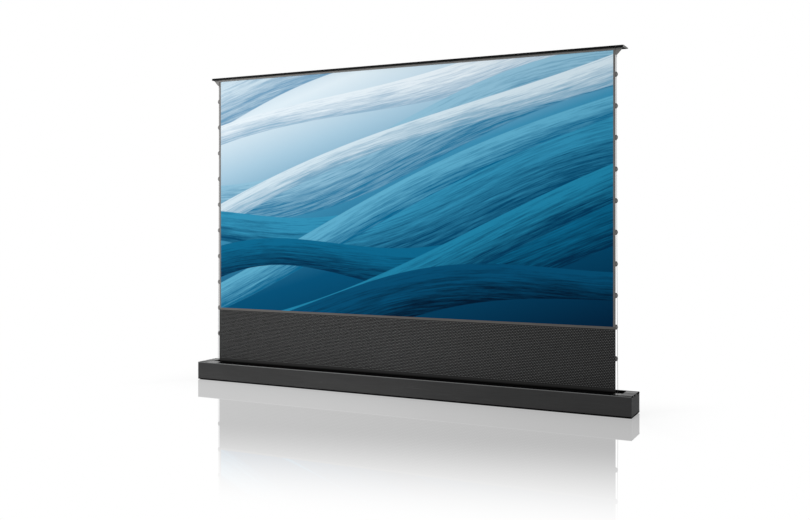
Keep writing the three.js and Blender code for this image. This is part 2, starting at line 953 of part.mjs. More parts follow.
function linkEye() {
  const halfHeight = linkHeight / 2;
  const halfWidth = linkWidth / 2;
  const bore = circle(0, 0, pinRadius + seatGap, pinSides);
  const body = alongY(
    withHoles(outline(eyeOutline(eyeLength, halfHeight)), bore),
    -halfWidth,
    halfWidth,
  );
  const plugHeight = halfHeight - linkWall - seatGap;
  const plugWidth = halfWidth - linkWall - seatGap;
  const plug = alongX(
    roundedRectangle(-plugWidth, -plugHeight, plugWidth, plugHeight, linkCornerRadius - linkWall),
    eyeLength - overrun,
    eyeLength + eyePlugLength,
  );
  const pocket = (from, to) => turnedY(ring(eyePocketInner, eyePocketOuter, from, to), pinSides);
  const faced = cut(
    body,
    pocket(-halfWidth - overrun, -halfWidth + eyePocketDepth),
    pocket(halfWidth - eyePocketDepth, halfWidth + overrun),
  );
  return joined(faced, plug);
}

function linkTube() {
  const outerHeight = linkHeight / 2;
  const outerWidth = linkWidth / 2;
  const innerHeight = outerHeight - linkWall;
  const innerWidth = outerWidth - linkWall;
  const section = withHoles(
    roundedRectangle(-outerWidth, -outerHeight, outerWidth, outerHeight, linkCornerRadius),
    roundedRectangle(
      -innerWidth,
      -innerHeight,
      innerWidth,
      innerHeight,
      linkCornerRadius - linkWall,
    ),
  );
  return alongX(section, eyeLength + seatGap, linkLength - eyeLength - seatGap);
}

// The spring pulls on a rod that runs to the elbow inside the tube
function armSpring() {
  const start = eyeLength + eyePlugLength + seatGap;
  const end = linkLength - start;
  const coilStart = start + springShoulder;
  const coilEnd = coilStart + springLength;
  return turnedX(
    [
      [0, start],
      [springNeck, start],
      [springNeck, coilStart - springNeck],
      [springRadius, coilStart],
      [springRadius, coilEnd],
      [springNeck, coilEnd + springNeck],
      [springRodRadius, coilEnd + springShoulder],
      [springRodRadius, end],
      [0, end],
    ],
    pinSides / 2,
  );
}

// A pin with a head in front of what it joins and a flush tail, drawn along Y
function headedPin(from, to, headSide) {
  const head =
    headSide < 0
      ? [
          [0, from - pinHead],
          [pinHeadRadius - pinBevel, from - pinHead],
          [pinHeadRadius, from - pinHead + pinBevel],
          [pinHeadRadius, from],
          [pinRadius, from],
          [pinRadius, to],
          [0, to],
        ]
      : [
          [0, from],
          [pinRadius, from],
          [pinRadius, to],
          [pinHeadRadius, to],
          [pinHeadRadius, to + pinHead - pinBevel],
          [pinHeadRadius - pinBevel, to + pinHead],
          [0, to + pinHead],
        ];
  return turnedY(head, pinSides);
}

// The elbow pin is riveted over at both ends, with a collar that keeps the links apart
function elbowPin() {
  const front = lowerLinkFront - seatGap;
  const rear = upperLinkRear + seatGap;
  return turnedY(
    [
      [0, front - pinHead],
      [pinHeadRadius - pinBevel, front - pinHead],
      [pinHeadRadius, front - pinHead + pinBevel],
      [pinHeadRadius, front],
      [pinRadius, front],
      [pinRadius, lowerLinkRear + seatGap],
      [elbowCollarRadius, lowerLinkRear + seatGap],
      [elbowCollarRadius, upperLinkFront - seatGap],
      [pinRadius, upperLinkFront - seatGap],
      [pinRadius, rear],
      [pinHeadRadius, rear],
      [pinHeadRadius, rear + pinHead - pinBevel],
      [pinHeadRadius - pinBevel, rear + pinHead],
      [0, rear + pinHead],
    ],
    pinSides,
  );
}

// An ear runs from its foot at one height to a round head about the pivot at zero
function ear(footHalf, footAt, from, to) {
  const up = footAt > 0 ? 1 : -1;
  const tilt = Math.asin(earHeadRadius / Math.hypot(footHalf, footAt));
  const lean = Math.atan2(footHalf, Math.abs(footAt)) - tilt;
  const head = arc(0, 0, earHeadRadius, lean - Math.PI, -lean, pinSides / 2);
  const points = [
    [footHalf, footAt],
    [-footHalf, footAt],
    ...head.map(([x, z]) => [x, up * z]),
  ];
  const shape = outline(up > 0 ? points : points.reverse());
  return alongY(withHoles(shape, circle(0, 0, pinRadius + seatGap, pinSides)), from, to);
}

function baseBracket() {
  const foot = floorTop + seatGap - basePivotZ;
  const footTop = foot + baseFootPlate;
  const ears = [
    [lowerLinkFront - turnGap - baseEar, lowerLinkFront - turnGap],
    [lowerLinkRear + turnGap, lowerLinkRear + turnGap + baseEar],
  ].map(([from, to]) => ear(baseEarHalf, footTop - overrun, from, to));
  const plate = rectangle(-baseFootHalf, foot, baseFootHalf, footTop);
  return joined(alongY(plate, baseFootFront, baseFootRear), ...ears);
}

function topBracket() {
  const plateTop = topPivotDrop + lidHeight - lidPlate - seatGap;
  const plateBottom = plateTop - topPlate;
  const ears = [
    [topPlateFront, upperLinkFront - turnGap],
    [upperLinkRear + turnGap, topPlateRear],
  ].map(([from, to]) => ear(topEarHalf, plateBottom + overrun, from, to));
  const plate = rectangle(-topPlateHalf, plateBottom, topPlateHalf, plateTop);
  return joined(alongY(plate, topPlateFront, topPlateRear), ...ears);
}

// One folding arm: nested groups follow the base pivot, the elbow and the top pivot
function addArm(name, side) {
  const shoulder = new THREE.Group();
  shoulder.position.set(side * armPivotX, 0, basePivotZ);
  screen.add(shoulder);
  piece(`${name}_base_bracket`, baseBracket(), castMetal, shoulder);
  const pinEnd = lowerLinkRear + turnGap + baseEar;
  const pinStart = lowerLinkFront - turnGap - baseEar - seatGap;
  piece(`${name}_base_pin`, headedPin(pinStart, pinEnd, -1), pinSteel, shoulder);

  const lower = new THREE.Group();
  lower.rotation.y = side < 0 ? -raisedAngle : raisedAngle - Math.PI;
  shoulder.add(lower);
  const lowerY = (lowerLinkFront + lowerLinkRear) / 2;
  addLink(`${name}_lower`, ["base_eye", "tube", "elbow_eye"], lower, lowerY);
  const spring = piece(`${name}_arm_spring`, armSpring(), zincSteel, lower);
  spring.position.y = lowerY;

  const elbow = new THREE.Group();
  elbow.position.x = linkLength;
  lower.add(elbow);
  piece(`${name}_elbow_pin`, elbowPin(), pinSteel, elbow);

  const upper = new THREE.Group();
  upper.rotation.y = side < 0 ? 2 * raisedAngle - Math.PI : Math.PI - 2 * raisedAngle;
  elbow.add(upper);
  const upperY = (upperLinkFront + upperLinkRear) / 2;
  addLink(`${name}_upper`, ["elbow_eye", "tube", "top_eye"], upper, upperY);

  const hanger = new THREE.Group();
  hanger.position.set(side * armPivotX, 0, lidBottom - topPivotDrop);
  screen.add(hanger);
  piece(`${name}_top_bracket`, topBracket(), castMetal, hanger);
  const topPin = headedPin(topPlateFront, topPlateRear + seatGap, 1);
  piece(`${name}_top_pin`, topPin, pinSteel, hanger);
}

function addLink(name, ends, parent, y) {
  const link = new THREE.Group();
  link.position.y = y;
  parent.add(link);
  piece(`${name}_${ends[0]}`, linkEye(), castMetal, link);
  piece(`${name}_${ends[1]}`, linkTube(), blackAluminium, link);
  const far = piece(`${name}_${ends[2]}`, linkEye(), castMetal, link);
  far.position.x = linkLength;
  far.rotation.y = Math.PI;
}

// Top bar
function finOutline(y, toward, bottom, thickness) {
  return [
    [y, lidUnder],
    [y, bottom],
    [y + toward * thickness, bottom],
    [y + toward * thickness, lidUnder],
  ];
}

function lidProfile() {
  const front = slotFront - lidFrontOverlap;
  const rear = slotRear + lidRearOverlap;
  const clampFront = clothY - clampDepth / 2 - seatGap;
  const clampRear = clothY + clampDepth / 2 + seatGap;
  const finBottom = lidUnder - lidFinHeight;
  const ribBottom = lidUnder - lidRibHeight;
  const r = lidCornerRadius;
  return [
    [front, lidBottom],
    [front + lidLipWall, lidBottom],
    [front + lidLipWall, lidUnder],
    ...finOutline(clampFront - lidRib, 1, finBottom, lidRib),
    ...finOutline(clampRear, 1, finBottom, lidRib),
    ...finOutline(topPlateFront - seatGap - lidRib, 1, ribBottom, lidRib),
    ...finOutline(topPlateRear + seatGap, 1, ribBottom, lidRib),
    [rear - lidLipWall, lidUnder],
    [rear - lidLipWall, lidTop - lidRearHeight],
    [rear, lidTop - lidRearHeight],
    ...arc(rear - r, lidTop - r, r, 0, Math.PI / 2, cornerSides / 2),
    ...arc(front + r, lidTop - r, r, Math.PI / 2, Math.PI, cornerSides / 2),
  ];
}

function lidCapOutline() {
  const front = slotFront - lidFrontOverlap;
  const rear = slotRear + lidRearOverlap;
  const r = lidCornerRadius;
  return outline([
    [front, lidBottom],
    [front + lidHeight, lidBottom],
    [rear, lidTop - lidRearHeight],
    ...arc(rear - r, lidTop - r, r, 0, Math.PI / 2, cornerSides / 2),
    ...arc(front + r, lidTop - r, r, Math.PI / 2, Math.PI, cornerSides / 2),
  ]);
}

function clampRail() {
  const front = clothY - clampDepth / 2;
  const rear = clothY + clampDepth / 2;
  const top = lidUnder - seatGap;
  const half = clothThickness / 2 + seatGap;
  const slotTop = pictureTop + clampGrip;
  return alongX(
    outline([
      [front, pictureTop],
      [clothY - half, pictureTop],
      [clothY - half, slotTop],
      [clothY + half, slotTop],
      [clothY + half, pictureTop],
      [rear, pictureTop],
      [rear, top],
      [front, top],
    ]),
    -clothHalf,
    clothHalf,
  );
}

function gusset(side) {
  const inner = clothHalf + seatGap;
  const top = lidUnder - seatGap;
  const bottom = lidBottom - gussetDrop;
  const points = [
    [inner, bottom],
    [clothHalf + gussetBottomReach, bottom],
    [clothHalf + gussetTopReach, lidBottom],
    [clothHalf + gussetTopReach, top],
    [inner, top],
  ].map(([x, z]) => [side * x, z]);
  const shape = outline(side < 0 ? points.reverse() : points);
  return alongY(shape, clothY - gussetThickness / 2, clothY + gussetThickness / 2);
}

function addTopBar() {
  const inner = lidHalf - lidCap - seatGap;
  piece("top_lid", alongX(outline(lidProfile()), -inner, inner), blackAluminium);
  piece("clamp_rail", clampRail(), greyPlastic);
  for (const [name, side] of sides) {
    const [from, to] = side < 0 ? [-lidHalf, -lidHalf + lidCap] : [lidHalf - lidCap, lidHalf];
    piece(`${name}_lid_cap`, alongX(lidCapOutline(), from, to), greyPlastic);
    piece(`${name}_gusset`, gusset(side), greyPlastic);
  }
}

addHousing();
addRoller();
piece("control_box", controlBox(), blackPlastic);
piece("power_inlet", powerInlet(), blackPlastic);
addCloth();
for (const [name, side] of sides) {
  addArm(name, side);
}
addTopBar();

export default screen;
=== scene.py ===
# Floor-rising projection screen: the looks of every piece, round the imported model.
# Units are metres. X runs along the width, Y from front to back, and Z up.

import json
import math

import bmesh
import bpy
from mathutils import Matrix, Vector

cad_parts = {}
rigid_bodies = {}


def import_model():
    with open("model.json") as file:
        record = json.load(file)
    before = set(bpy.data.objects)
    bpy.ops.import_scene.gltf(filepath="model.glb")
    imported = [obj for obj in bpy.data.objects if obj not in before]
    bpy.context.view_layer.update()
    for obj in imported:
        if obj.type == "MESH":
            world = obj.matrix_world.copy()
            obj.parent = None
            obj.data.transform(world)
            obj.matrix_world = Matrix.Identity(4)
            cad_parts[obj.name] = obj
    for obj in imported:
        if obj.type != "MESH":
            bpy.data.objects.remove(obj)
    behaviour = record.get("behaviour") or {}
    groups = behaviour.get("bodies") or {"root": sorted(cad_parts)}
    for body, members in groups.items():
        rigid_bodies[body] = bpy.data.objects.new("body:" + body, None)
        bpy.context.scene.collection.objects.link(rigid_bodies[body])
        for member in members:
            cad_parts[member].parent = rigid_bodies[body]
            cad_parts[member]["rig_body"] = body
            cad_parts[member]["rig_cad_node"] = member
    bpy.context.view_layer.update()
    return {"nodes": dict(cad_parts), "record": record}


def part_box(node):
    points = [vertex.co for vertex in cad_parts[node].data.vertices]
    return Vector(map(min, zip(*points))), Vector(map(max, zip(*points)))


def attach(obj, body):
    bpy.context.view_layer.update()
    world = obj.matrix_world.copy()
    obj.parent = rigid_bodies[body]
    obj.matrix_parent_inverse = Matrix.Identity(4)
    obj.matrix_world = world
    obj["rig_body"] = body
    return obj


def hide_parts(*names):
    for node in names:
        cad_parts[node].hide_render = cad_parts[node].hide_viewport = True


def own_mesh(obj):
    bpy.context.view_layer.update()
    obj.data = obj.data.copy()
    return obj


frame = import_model()

# Places taken from the frame
cloth_low, cloth_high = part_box("viewing_surface")
drop_low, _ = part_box("black_drop")
housing_low, housing_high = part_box("base_trough")
tube_low, tube_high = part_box("roller_tube")
end_top_low, end_top_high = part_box("right_end_top")
cloth_half = cloth_high.x
cloth_front = cloth_low.y
cloth_thickness = cloth_high.y - cloth_low.y
roller_y = (tube_low.y + tube_high.y) / 2
roller_z = (tube_low.z + tube_high.z) / 2
roller_radius = (tube_high.z - tube_low.z) / 2

# Cloth
SIDE_BORDER = 0.013
LOWER_BAND = 0.0155
CLAMP_GRIP = 0.0097
HEM_HEIGHT = 0.0185
BAND_SEAM = 0.002
picture_half = cloth_half - SIDE_BORDER
picture_bottom = cloth_low.z + LOWER_BAND
picture_top = cloth_high.z - CLAMP_GRIP
picture_width = 2 * picture_half
picture_height = picture_top - picture_bottom
hem_top = housing_high.z + HEM_HEIGHT

# Tabs of the edge tapes
TAB_LOWEST = 0.3
TAB_PITCH = 0.1705
TAB_HALF = 0.0145

# Joints in the housing's top, from front to back
COVER_JOINT = -0.0484
GROOVE_PLACE = 0.0102

# Name of each end, and its side along X
ENDS = (("left", -1), ("right", 1))


# Camera, at the photograph's viewing point
IMAGE_WIDTH = 810
IMAGE_HEIGHT = 520
FOCAL_PIXELS = 888
SIGHT_PIXEL = (470, 222.2)
CAMERA_PLACE = (2.588, -4.6965, 1.0364)
CAMERA_TURN = math.radians(24.19)
FARTHEST_SEEN = 60


def add_camera():
    turn = (math.radians(90), 0, CAMERA_TURN)
    bpy.ops.object.camera_add(location=CAMERA_PLACE, rotation=turn)
    camera = bpy.context.object
    camera.name = "camera"
    camera.data.lens = camera.data.sensor_width * FOCAL_PIXELS / IMAGE_WIDTH
    camera.data.shift_x = (IMAGE_WIDTH / 2 - SIGHT_PIXEL[0]) / IMAGE_WIDTH
    camera.data.shift_y = (SIGHT_PIXEL[1] - IMAGE_HEIGHT / 2) / IMAGE_WIDTH
    camera.data.clip_end = FARTHEST_SEEN
    bpy.context.scene.camera = camera


# Finishes are written as sums on sockets
class Wire:
    """One socket of a finish, which adds a node for each sum that it is used in."""

    def __init__(self, finish, socket):
        self.finish = finish
        self.socket = socket

    def math(self, operation, *others):
        inputs = dict(enumerate([self, *others]))
        return self.finish.node("Math", {"operation": operation}, inputs)

    def __add__(self, other):
        return self.math("ADD", other)

    def __sub__(self, other):
        return self.math("SUBTRACT", other)

    def __rsub__(self, other):
        return self.finish.node("Math", {"operation": "SUBTRACT"}, {0: other, 1: self})

    def __mul__(self, other):
        return self.math("MULTIPLY", other)

    __rmul__ = __mul__

    def __truediv__(self, other):
        return self.math("DIVIDE", other)

    def __neg__(self):
        return self * -1

    def __abs__(self):
        return self.math("ABSOLUTE")

    def clamped(self):
        return self.finish.node("Clamp", {}, {"Value": self})


SHADE_COLOUR = (0.0015, 0.0015, 0.0015)


class Finish:
    """The node tree of a material or of the world."""

    def __init__(self, owner):
        self.owner = owner
        owner.use_nodes = True
        self.tree = owner.node_tree
        self.tree.nodes.clear()

    def node(self, kind, settings=None, inputs=None, output=0):
        made = self.tree.nodes.new("ShaderNode" + kind)
        for name, value in (settings or {}).items():
            if name == "stops":
                set_stops(made.color_ramp, value)
            else:
                setattr(made, name, value)
        for key, value in (inputs or {}).items():
            if isinstance(value, Wire):
                self.tree.links.new(value.socket, made.inputs[key])
            else:
                made.inputs[key].default_value = value
        return Wire(self, made.outputs[output]) if made.outputs else None

    def place(self):
        return self.node("TexCoord", output="Object")

    def axes(self, vector):
        split = self.node("SeparateXYZ", {}, {"Vector": vector})
        return [Wire(self, socket) for socket in split.socket.node.outputs]

    def joined(self, x, y, z):
        return self.node("CombineXYZ", {}, {0: x, 1: y, 2: z})

    def stretched(self, vector, scale):
        return self.node("Mapping", {}, {"Vector": vector, "Scale": scale})

    def noise(self, vector, scale, detail=2, roughness=0.5):
        inputs = {"Vector": vector, "Scale": scale, "Detail": detail, "Roughness": roughness}
        return self.node("TexNoise", {}, inputs)

    def blended(self, factor, first, second):
        settings = {"data_type": "RGBA", "clamp_factor": True}
        inputs = {0: factor, 6: rgba(first), 7: rgba(second)}
        return self.node("Mix", settings, inputs, output=2)

    def varied(self, factor, colour, dark, light):
        """A colour between a darker and a lighter tone of itself."""
        return self.blended(factor, toned(colour, dark), toned(colour, light))

    def bumped(self, height, strength, distance):
        inputs = {"Height": height, "Strength": strength, "Distance": distance}
        return self.node("Bump", {}, inputs)

    def surface(self, inputs, shade=None):
        """Ends the finish, with a share of black where shadow gathers."""
        shader = self.node("BsdfPrincipled", {}, inputs)
        if shade is not None:
            black = self.node("BsdfDiffuse", {}, {"Color": rgba(SHADE_COLOUR)})
            shader = self.node("MixShader", {}, {0: shade, 1: shader, 2: black})
        self.node("OutputMaterial", {}, {"Surface": shader})
        return self.owner


def set_stops(ramp, stops):
    while len(ramp.elements) < len(stops):
        ramp.elements.new(1)
    for element, (position, colour) in zip(ramp.elements, stops):
        element.position = position
        element.color = rgba(colour)


def rgba(colour):
    return colour if isinstance(colour, Wire) else (*colour, 1)


def new_finish(name="finish"):
    return Finish(bpy.data.materials.new(name))


def srgb(red, green, blue):
    """A colour in the values from 0 to 255 that a picture shows, as linear light."""
    return tuple(linear(value / 255) for value in (red, green, blue))


def linear(share):
    """The sRGB curve of one channel, undone."""
    return share / 12.92 if share <= 0.04045 else ((share + 0.055) / 1.055) ** 2.4


def toned(colour, share):
    return tuple(value * share for value in colour)


# Metal and plastic finishes, whose grain repeats so often in a metre along X, Y and Z
DRAWN_LINES = (9, 420, 420)
GLOSS_PATCHES = (3, 14, 14)
TOOL_MARKS = (40, 2600, 40)


def anodised(finish, place, colour, contrast, gloss, roughness=0.16):
    """Satin anodised extrusion: drawn lines along X, and slow patches of gloss."""
    lines = finish.noise(finish.stretched(place, DRAWN_LINES), scale=1, detail=4, roughness=0.6)
    patches = finish.noise(finish.stretched(place, GLOSS_PATCHES), scale=1, detail=3)
    tone = lines * 0.6 + patches * 0.4
    return {
        "Base Color": finish.varied(tone, colour, dark=1 - contrast, light=1 + contrast),
        "Roughness": patches * 0.12 + lines * 0.06 + roughness,
        "Specular IOR Level": gloss,
        "Normal": finish.bumped(lines, strength=0.05, distance=0.0001),
    }


def anodised_finish(colour, contrast=0.4, gloss=0.2, roughness=0.16):
    finish = new_finish()
    return finish.surface(anodised(finish, finish.place(), colour, contrast, gloss, roughness))


# Painted shade and a painted highlight on the housing: places, heights and half widths of its dark
# and bright lines
EDGE_LINE = 0.0042
FOOT_LINE = 0.008
JOINT_LINE = 0.009
JOINT_SHADE = 0.9
# A painted shade band on the top, behind its front edge
FRONT_SHADE_PLACE = -0.076
FRONT_SHADE_LINE = 0.019
EDGE_SHADE_PLACE = -0.078
EDGE_SHADE_LINE = 0.018
EDGE_SHADE_START = 0.01
WALL_SKIN = 0.002
TOP_SKIN = 0.0008
END_SKIN = 0.0004
TOP_SHADE = 0.9
TOP_SHADE_SHIFT = 0.0175
TOP_SHADE_GAIN = 200

# How fast a shade rises past its line, per metre, and what gives a band a flat top
CRISP = 4000
SOFT = 1000
FLAT_TOP = 3


def past(value, gain=CRISP):
    """Zero up to a line, and one just beyond it."""
    return (value * gain).clamped()


def band(value, centre, half):
    """One at a place, falling to zero at a distance from it."""
    return (1 - abs(value - centre) / half).clamped()


def deepest(shade, *others):
    """The largest of several shades."""
    for other in others:
        shade = shade.math("MAXIMUM", other)
    return shade


def on_housing_top(z):
    return past(z - housing_high.z + TOP_SKIN)


def at_foot(z):
    return past(housing_low.z + FOOT_LINE - z, 2 / FOOT_LINE)


def housing_shade(x, y, z, in_front):
    """Painted shade at the foot and the end faces, at the joints of the top and behind its front
    edge, and in and by the slot, where it also stands in for the dark cloth's reflection.
    """
    behind_edge = 1 - in_front
    on_top = on_housing_top(z)
    at_end = past(abs(x) - end_top_low.x, SOFT)
    # Painted shade and painted reflection of the dark cloth on the top before the slot, shifted
    # sideways as the reflection is
    beside = abs(x - TOP_SHADE_SHIFT) - (cloth_half - TOP_SHADE_SHIFT)
    by_cloth = past(-beside, TOP_SHADE_GAIN) * behind_edge
    # Painted shade bands on the top: a broad one behind the front edge, and one at each joint
    joints = band(y, FRONT_SHADE_PLACE, FRONT_SHADE_LINE) * behind_edge
    for place in (COVER_JOINT, end_top_low.y, GROOVE_PLACE, end_top_high.y):
        joints = joints + band(y, place, JOINT_LINE)
    joints = (joints * at_end).clamped()
    rear_lip = past(y - end_top_high.y) * (1 - at_end)
    # Painted shade behind the front edge, right of the cloth
    beside_cloth = past(x - cloth_half + EDGE_SHADE_START, SOFT) * behind_edge
    front_shade = past(band(y, EDGE_SHADE_PLACE, EDGE_SHADE_LINE), FLAT_TOP) * beside_cloth
    top = deepest(by_cloth, rear_lip, front_shade) * TOP_SHADE
    top = deepest(top, joints * JOINT_SHADE) * on_top
    # Painted shade on the faces inside the housing
    inside = past(housing_high.y - WALL_SKIN - abs(y)) * (1 - on_top) * TOP_SHADE
    end_face = past(abs(x) - end_top_high.x + END_SKIN, 2 * CRISP)
    return deepest(at_foot(z), top, inside, end_face)


def housing_finish(colour, highlight_colour):
    """Anodised, with a painted highlight along the front edge, and painted shade where little light
    falls.
    """
    finish = new_finish()
    place = finish.place()
    x, y, z = finish.axes(place)
    inputs = anodised(finish, place, colour, contrast=0.4, gloss=0.12)
    in_front = past(housing_low.y + EDGE_LINE / 2 - y)
    # Painted highlight: a pale band along the top of the front face, standing in for light on the
    # rounded edge
    edge = past(z - housing_high.z + EDGE_LINE, 2 / EDGE_LINE) * in_front
    inputs["Base Color"] = finish.blended(edge, inputs["Base Color"], highlight_colour)
    return finish.surface(inputs, housing_shade(x, y, z, in_front))


# Shade on the end caps, whose top edge is notched over each channel of the housing
NOTCH_SKIN = 0.0006
NOTCH_DEPTH = 0.0064
NOTCH_HALO_HALF = 0.0105
NOTCH_HALO_DEPTH = 0.0095
NOTCH_INSET = 0.012
CAP_TOP_SHADE = 0.45
notch_corner = housing_high.y - NOTCH_INSET
notch_rear = (GROOVE_PLACE + end_top_high.y) / 2
notch_front = (COVER_JOINT + GROOVE_PLACE) / 2


def cap_shade(x, y, z):
    """Shade at an end cap's foot, on its top edge, and in and round its notches."""
    inside = past(housing_high.x - NOTCH_SKIN - abs(x))
    in_notch = past(z - housing_high.z + NOTCH_DEPTH, CRISP / 2) * inside
    halo = band(abs(y), notch_corner, NOTCH_HALO_HALF)
    for place in (notch_rear, notch_front):
        halo = halo + band(y, place, NOTCH_HALO_HALF)
    halo = past(halo, FLAT_TOP) * past(z - housing_high.z + NOTCH_HALO_DEPTH, SOFT)
    return deepest(at_foot(z), in_notch, halo, on_housing_top(z) * CAP_TOP_SHADE)


def moulded_finish(colour, roughness, is_cap=False):
    """Spark-eroded plastic: a fine pitted grain, and faint flow marks. An end cap's finish also
    takes painted shade at its foot, top edge and notches.
    """
    finish = new_finish()
    place = finish.place()
    grain = finish.noise(place, scale=1400, detail=2, roughness=0.7)
    flow = finish.noise(place, scale=9, detail=3)
    inputs = {
        "Base Color": finish.varied(flow, colour, dark=0.82, light=1.18),
        "Roughness": flow * 0.12 + (roughness - 0.06),
        "Specular IOR Level": 0.09,
        "Normal": finish.bumped(grain, strength=0.22, distance=0.0002),
    }
    return finish.surface(inputs, cap_shade(*finish.axes(place)) if is_cap else None)


def coated_finish(colour, roughness):
    """Powder coat on a casting: orange peel over a slightly uneven skin."""
    finish = new_finish()
    place = finish.place()
    peel = finish.noise(place, scale=420, detail=2, roughness=0.5)
    skin = finish.noise(place, scale=38, detail=3, roughness=0.6)
    inputs = {
        "Base Color": finish.varied(skin, colour, dark=0.78, light=1.25),
        "Roughness": skin * 0.15 + (roughness - 0.08),
        "Specular IOR Level": 0.35,
        "Normal": finish.bumped(peel * 0.7 + skin * 0.3, strength=0.35, distance=0.0004),
    }
    return finish.surface(inputs)


def plated_finish(colour, roughness):
    """Zinc plate: pale crystals, and a slight cloud in the shine."""
    finish = new_finish()
    place = finish.place()
    crystals = finish.node("TexVoronoi", {}, {"Vector": place, "Scale": 160})
    cloud = finish.noise(place, scale=22, detail=3)
    inputs = {
        "Base Color": finish.varied(crystals * 0.9, colour, dark=0.85, light=1.1),
        "Metallic": 1.0,
        "Roughness": cloud * 0.18 + (roughness - 0.08),
        "Normal": finish.bumped(crystals, strength=0.08, distance=0.0002),
    }
    return finish.surface(inputs)


def turned_finish(colour, roughness):
    """Bright steel from the lathe: fine tool marks along Y."""
    finish = new_finish()
    marks = finish.noise(finish.stretched(finish.place(), TOOL_MARKS), scale=1, detail=2)
    inputs = {
        "Base Color": finish.varied(marks, colour, dark=0.8, light=1.1),
        "Metallic": 1.0,
        "Roughness": marks * 0.15 + (roughness - 0.06),
        "Normal": finish.bumped(marks, strength=0.15, distance=0.0001),
    }
    return finish.surface(inputs)


def rubber_finish(colour):
    """Dull moulded rubber with a rough grain."""
    finish = new_finish()
    grain = finish.noise(finish.place(), scale=700, detail=3, roughness=0.6)
    inputs = {
        "Base Color": finish.varied(grain, colour, dark=0.7, light=1.5),
        "Roughness": grain * 0.12 + 0.76,
        "Specular IOR Level": 0.2,
        "Normal": finish.bumped(grain, strength=0.4, distance=0.0004),
    }
    return finish.surface(inputs)


# Cloth finishes
FINE_WEAVE = 0.0009
COARSE_WEAVE = 0.0011


def wave(value, pitch):
    return (value * (2 * math.pi / pitch)).math("SINE")


def raised(wave):
    """A wave between -1 and 1, as one between 0 and 1."""
    return wave * 0.5 + 0.5


def weave(finish, place, pitch):
    """Crossing threads in the plane of the cloth, from 0 in the gaps to 1 on the threads."""
    x, _, z = finish.axes(place)
    return raised(wave(x, pitch) * wave(z, pitch))


HEM_SHADE = 0.012


def plain_cloth_finish(colour, pitch, hem=False):
    """Woven cloth, slightly worn. A hem gathers shade where it goes into the slot."""
    finish = new_finish()
    place = finish.place()
    threads = weave(finish, place, pitch)
    wear = finish.noise(place, scale=14, detail=3)
    tone = threads * 0.5 + wear * 0.5
    inputs = {
        "Base Color": finish.varied(tone, colour, dark=0.8, light=1.2),
        "Roughness": wear * 0.1 + 0.78,
        "Specular IOR Level": 0.12,
        "Normal": finish.bumped(threads, strength=0.25, distance=0.0002),
    }
    shade = None
    if hem:
        *_, z = finish.axes(place)
        shade = past(housing_high.z + HEM_SHADE - z, 1 / HEM_SHADE)
    return finish.surface(inputs, shade)


# The picture is a plain design: streaked silk ribbons sweep up across the cloth over a slanting
# wash of colour. A ribbon has a level, a rise across the width, a swell, a count of waves, a phase
# in turns, a breadth, and the colours of its shaded and its bright side.
RIBBONS = [
    (0.98, 0.30, 0.060, 0.70, 0.05, 0.20, srgb(112, 158, 190), srgb(206, 226, 238)),
    (0.74, 0.50, 0.070, 0.60, 0.30, 0.13, srgb(150, 184, 208), srgb(232, 243, 250)),
    (0.60, 0.36, 0.085, 0.75, 0.62, 0.17, srgb(40, 122, 162), srgb(146, 194, 218)),
    (0.42, 0.62, 0.060, 0.55, 0.12, 0.12, srgb(120, 168, 196), srgb(214, 232, 242)),
    (0.40, 0.30, 0.095, 0.80, 0.45, 0.20, srgb(2, 74, 112), srgb(50, 146, 184)),
    (0.16, 0.66, 0.060, 0.60, 0.85, 0.10, srgb(8, 104, 146), srgb(96, 176, 208)),
    (0.20, 0.28, 0.080, 0.90, 0.20, 0.18, srgb(0, 46, 78), srgb(10, 106, 146)),
    (-0.06, 0.60, 0.055, 0.65, 0.55, 0.12, srgb(0, 58, 94), srgb(32, 134, 172)),
    (-0.02, 0.26, 0.070, 0.85, 0.75, 0.16, srgb(0, 26, 50), srgb(4, 80, 118)),
]
# How a ribbon's breadth changes along it, and how its sheen falls from its upper edge
BREADTH_TURN = 0.8
BREADTH_PHASE = 1.2
BREADTH_CHANGE = 0.35
SHEEN = 1.15
SHEEN_FALL = 1.1
RIBBON_EDGE = 320
RIBBON_FAR_EDGE = 40
# Streaks: how often they repeat along a ribbon, across it and from ribbon to ribbon, and then
# their roughness and contrast
SILK_STREAKS = (5, 60, 40, 0.6, 1.4)
THREAD_STREAKS = (14, 170, 90, 0.7, 1.8)
WASH_SLANT = 0.34
DIM_SIDE = 0.68
WASH_STOPS = [
    (0.0, srgb(0, 34, 62)),
    (0.34, srgb(2, 84, 124)),
    (0.56, srgb(62, 146, 184)),
    (0.72, srgb(172, 206, 226)),
    (0.86, srgb(226, 240, 248)),
    (1.0, srgb(150, 186, 210)),
]


def ribbon_streaks(finish, across, depth, phase, streaks):
    along, over, apart, roughness, contrast = streaks
    place = finish.joined(across * along, depth * over, phase * apart)
    return (finish.noise(place, scale=1, detail=3, roughness=roughness) - 0.5) * contrast


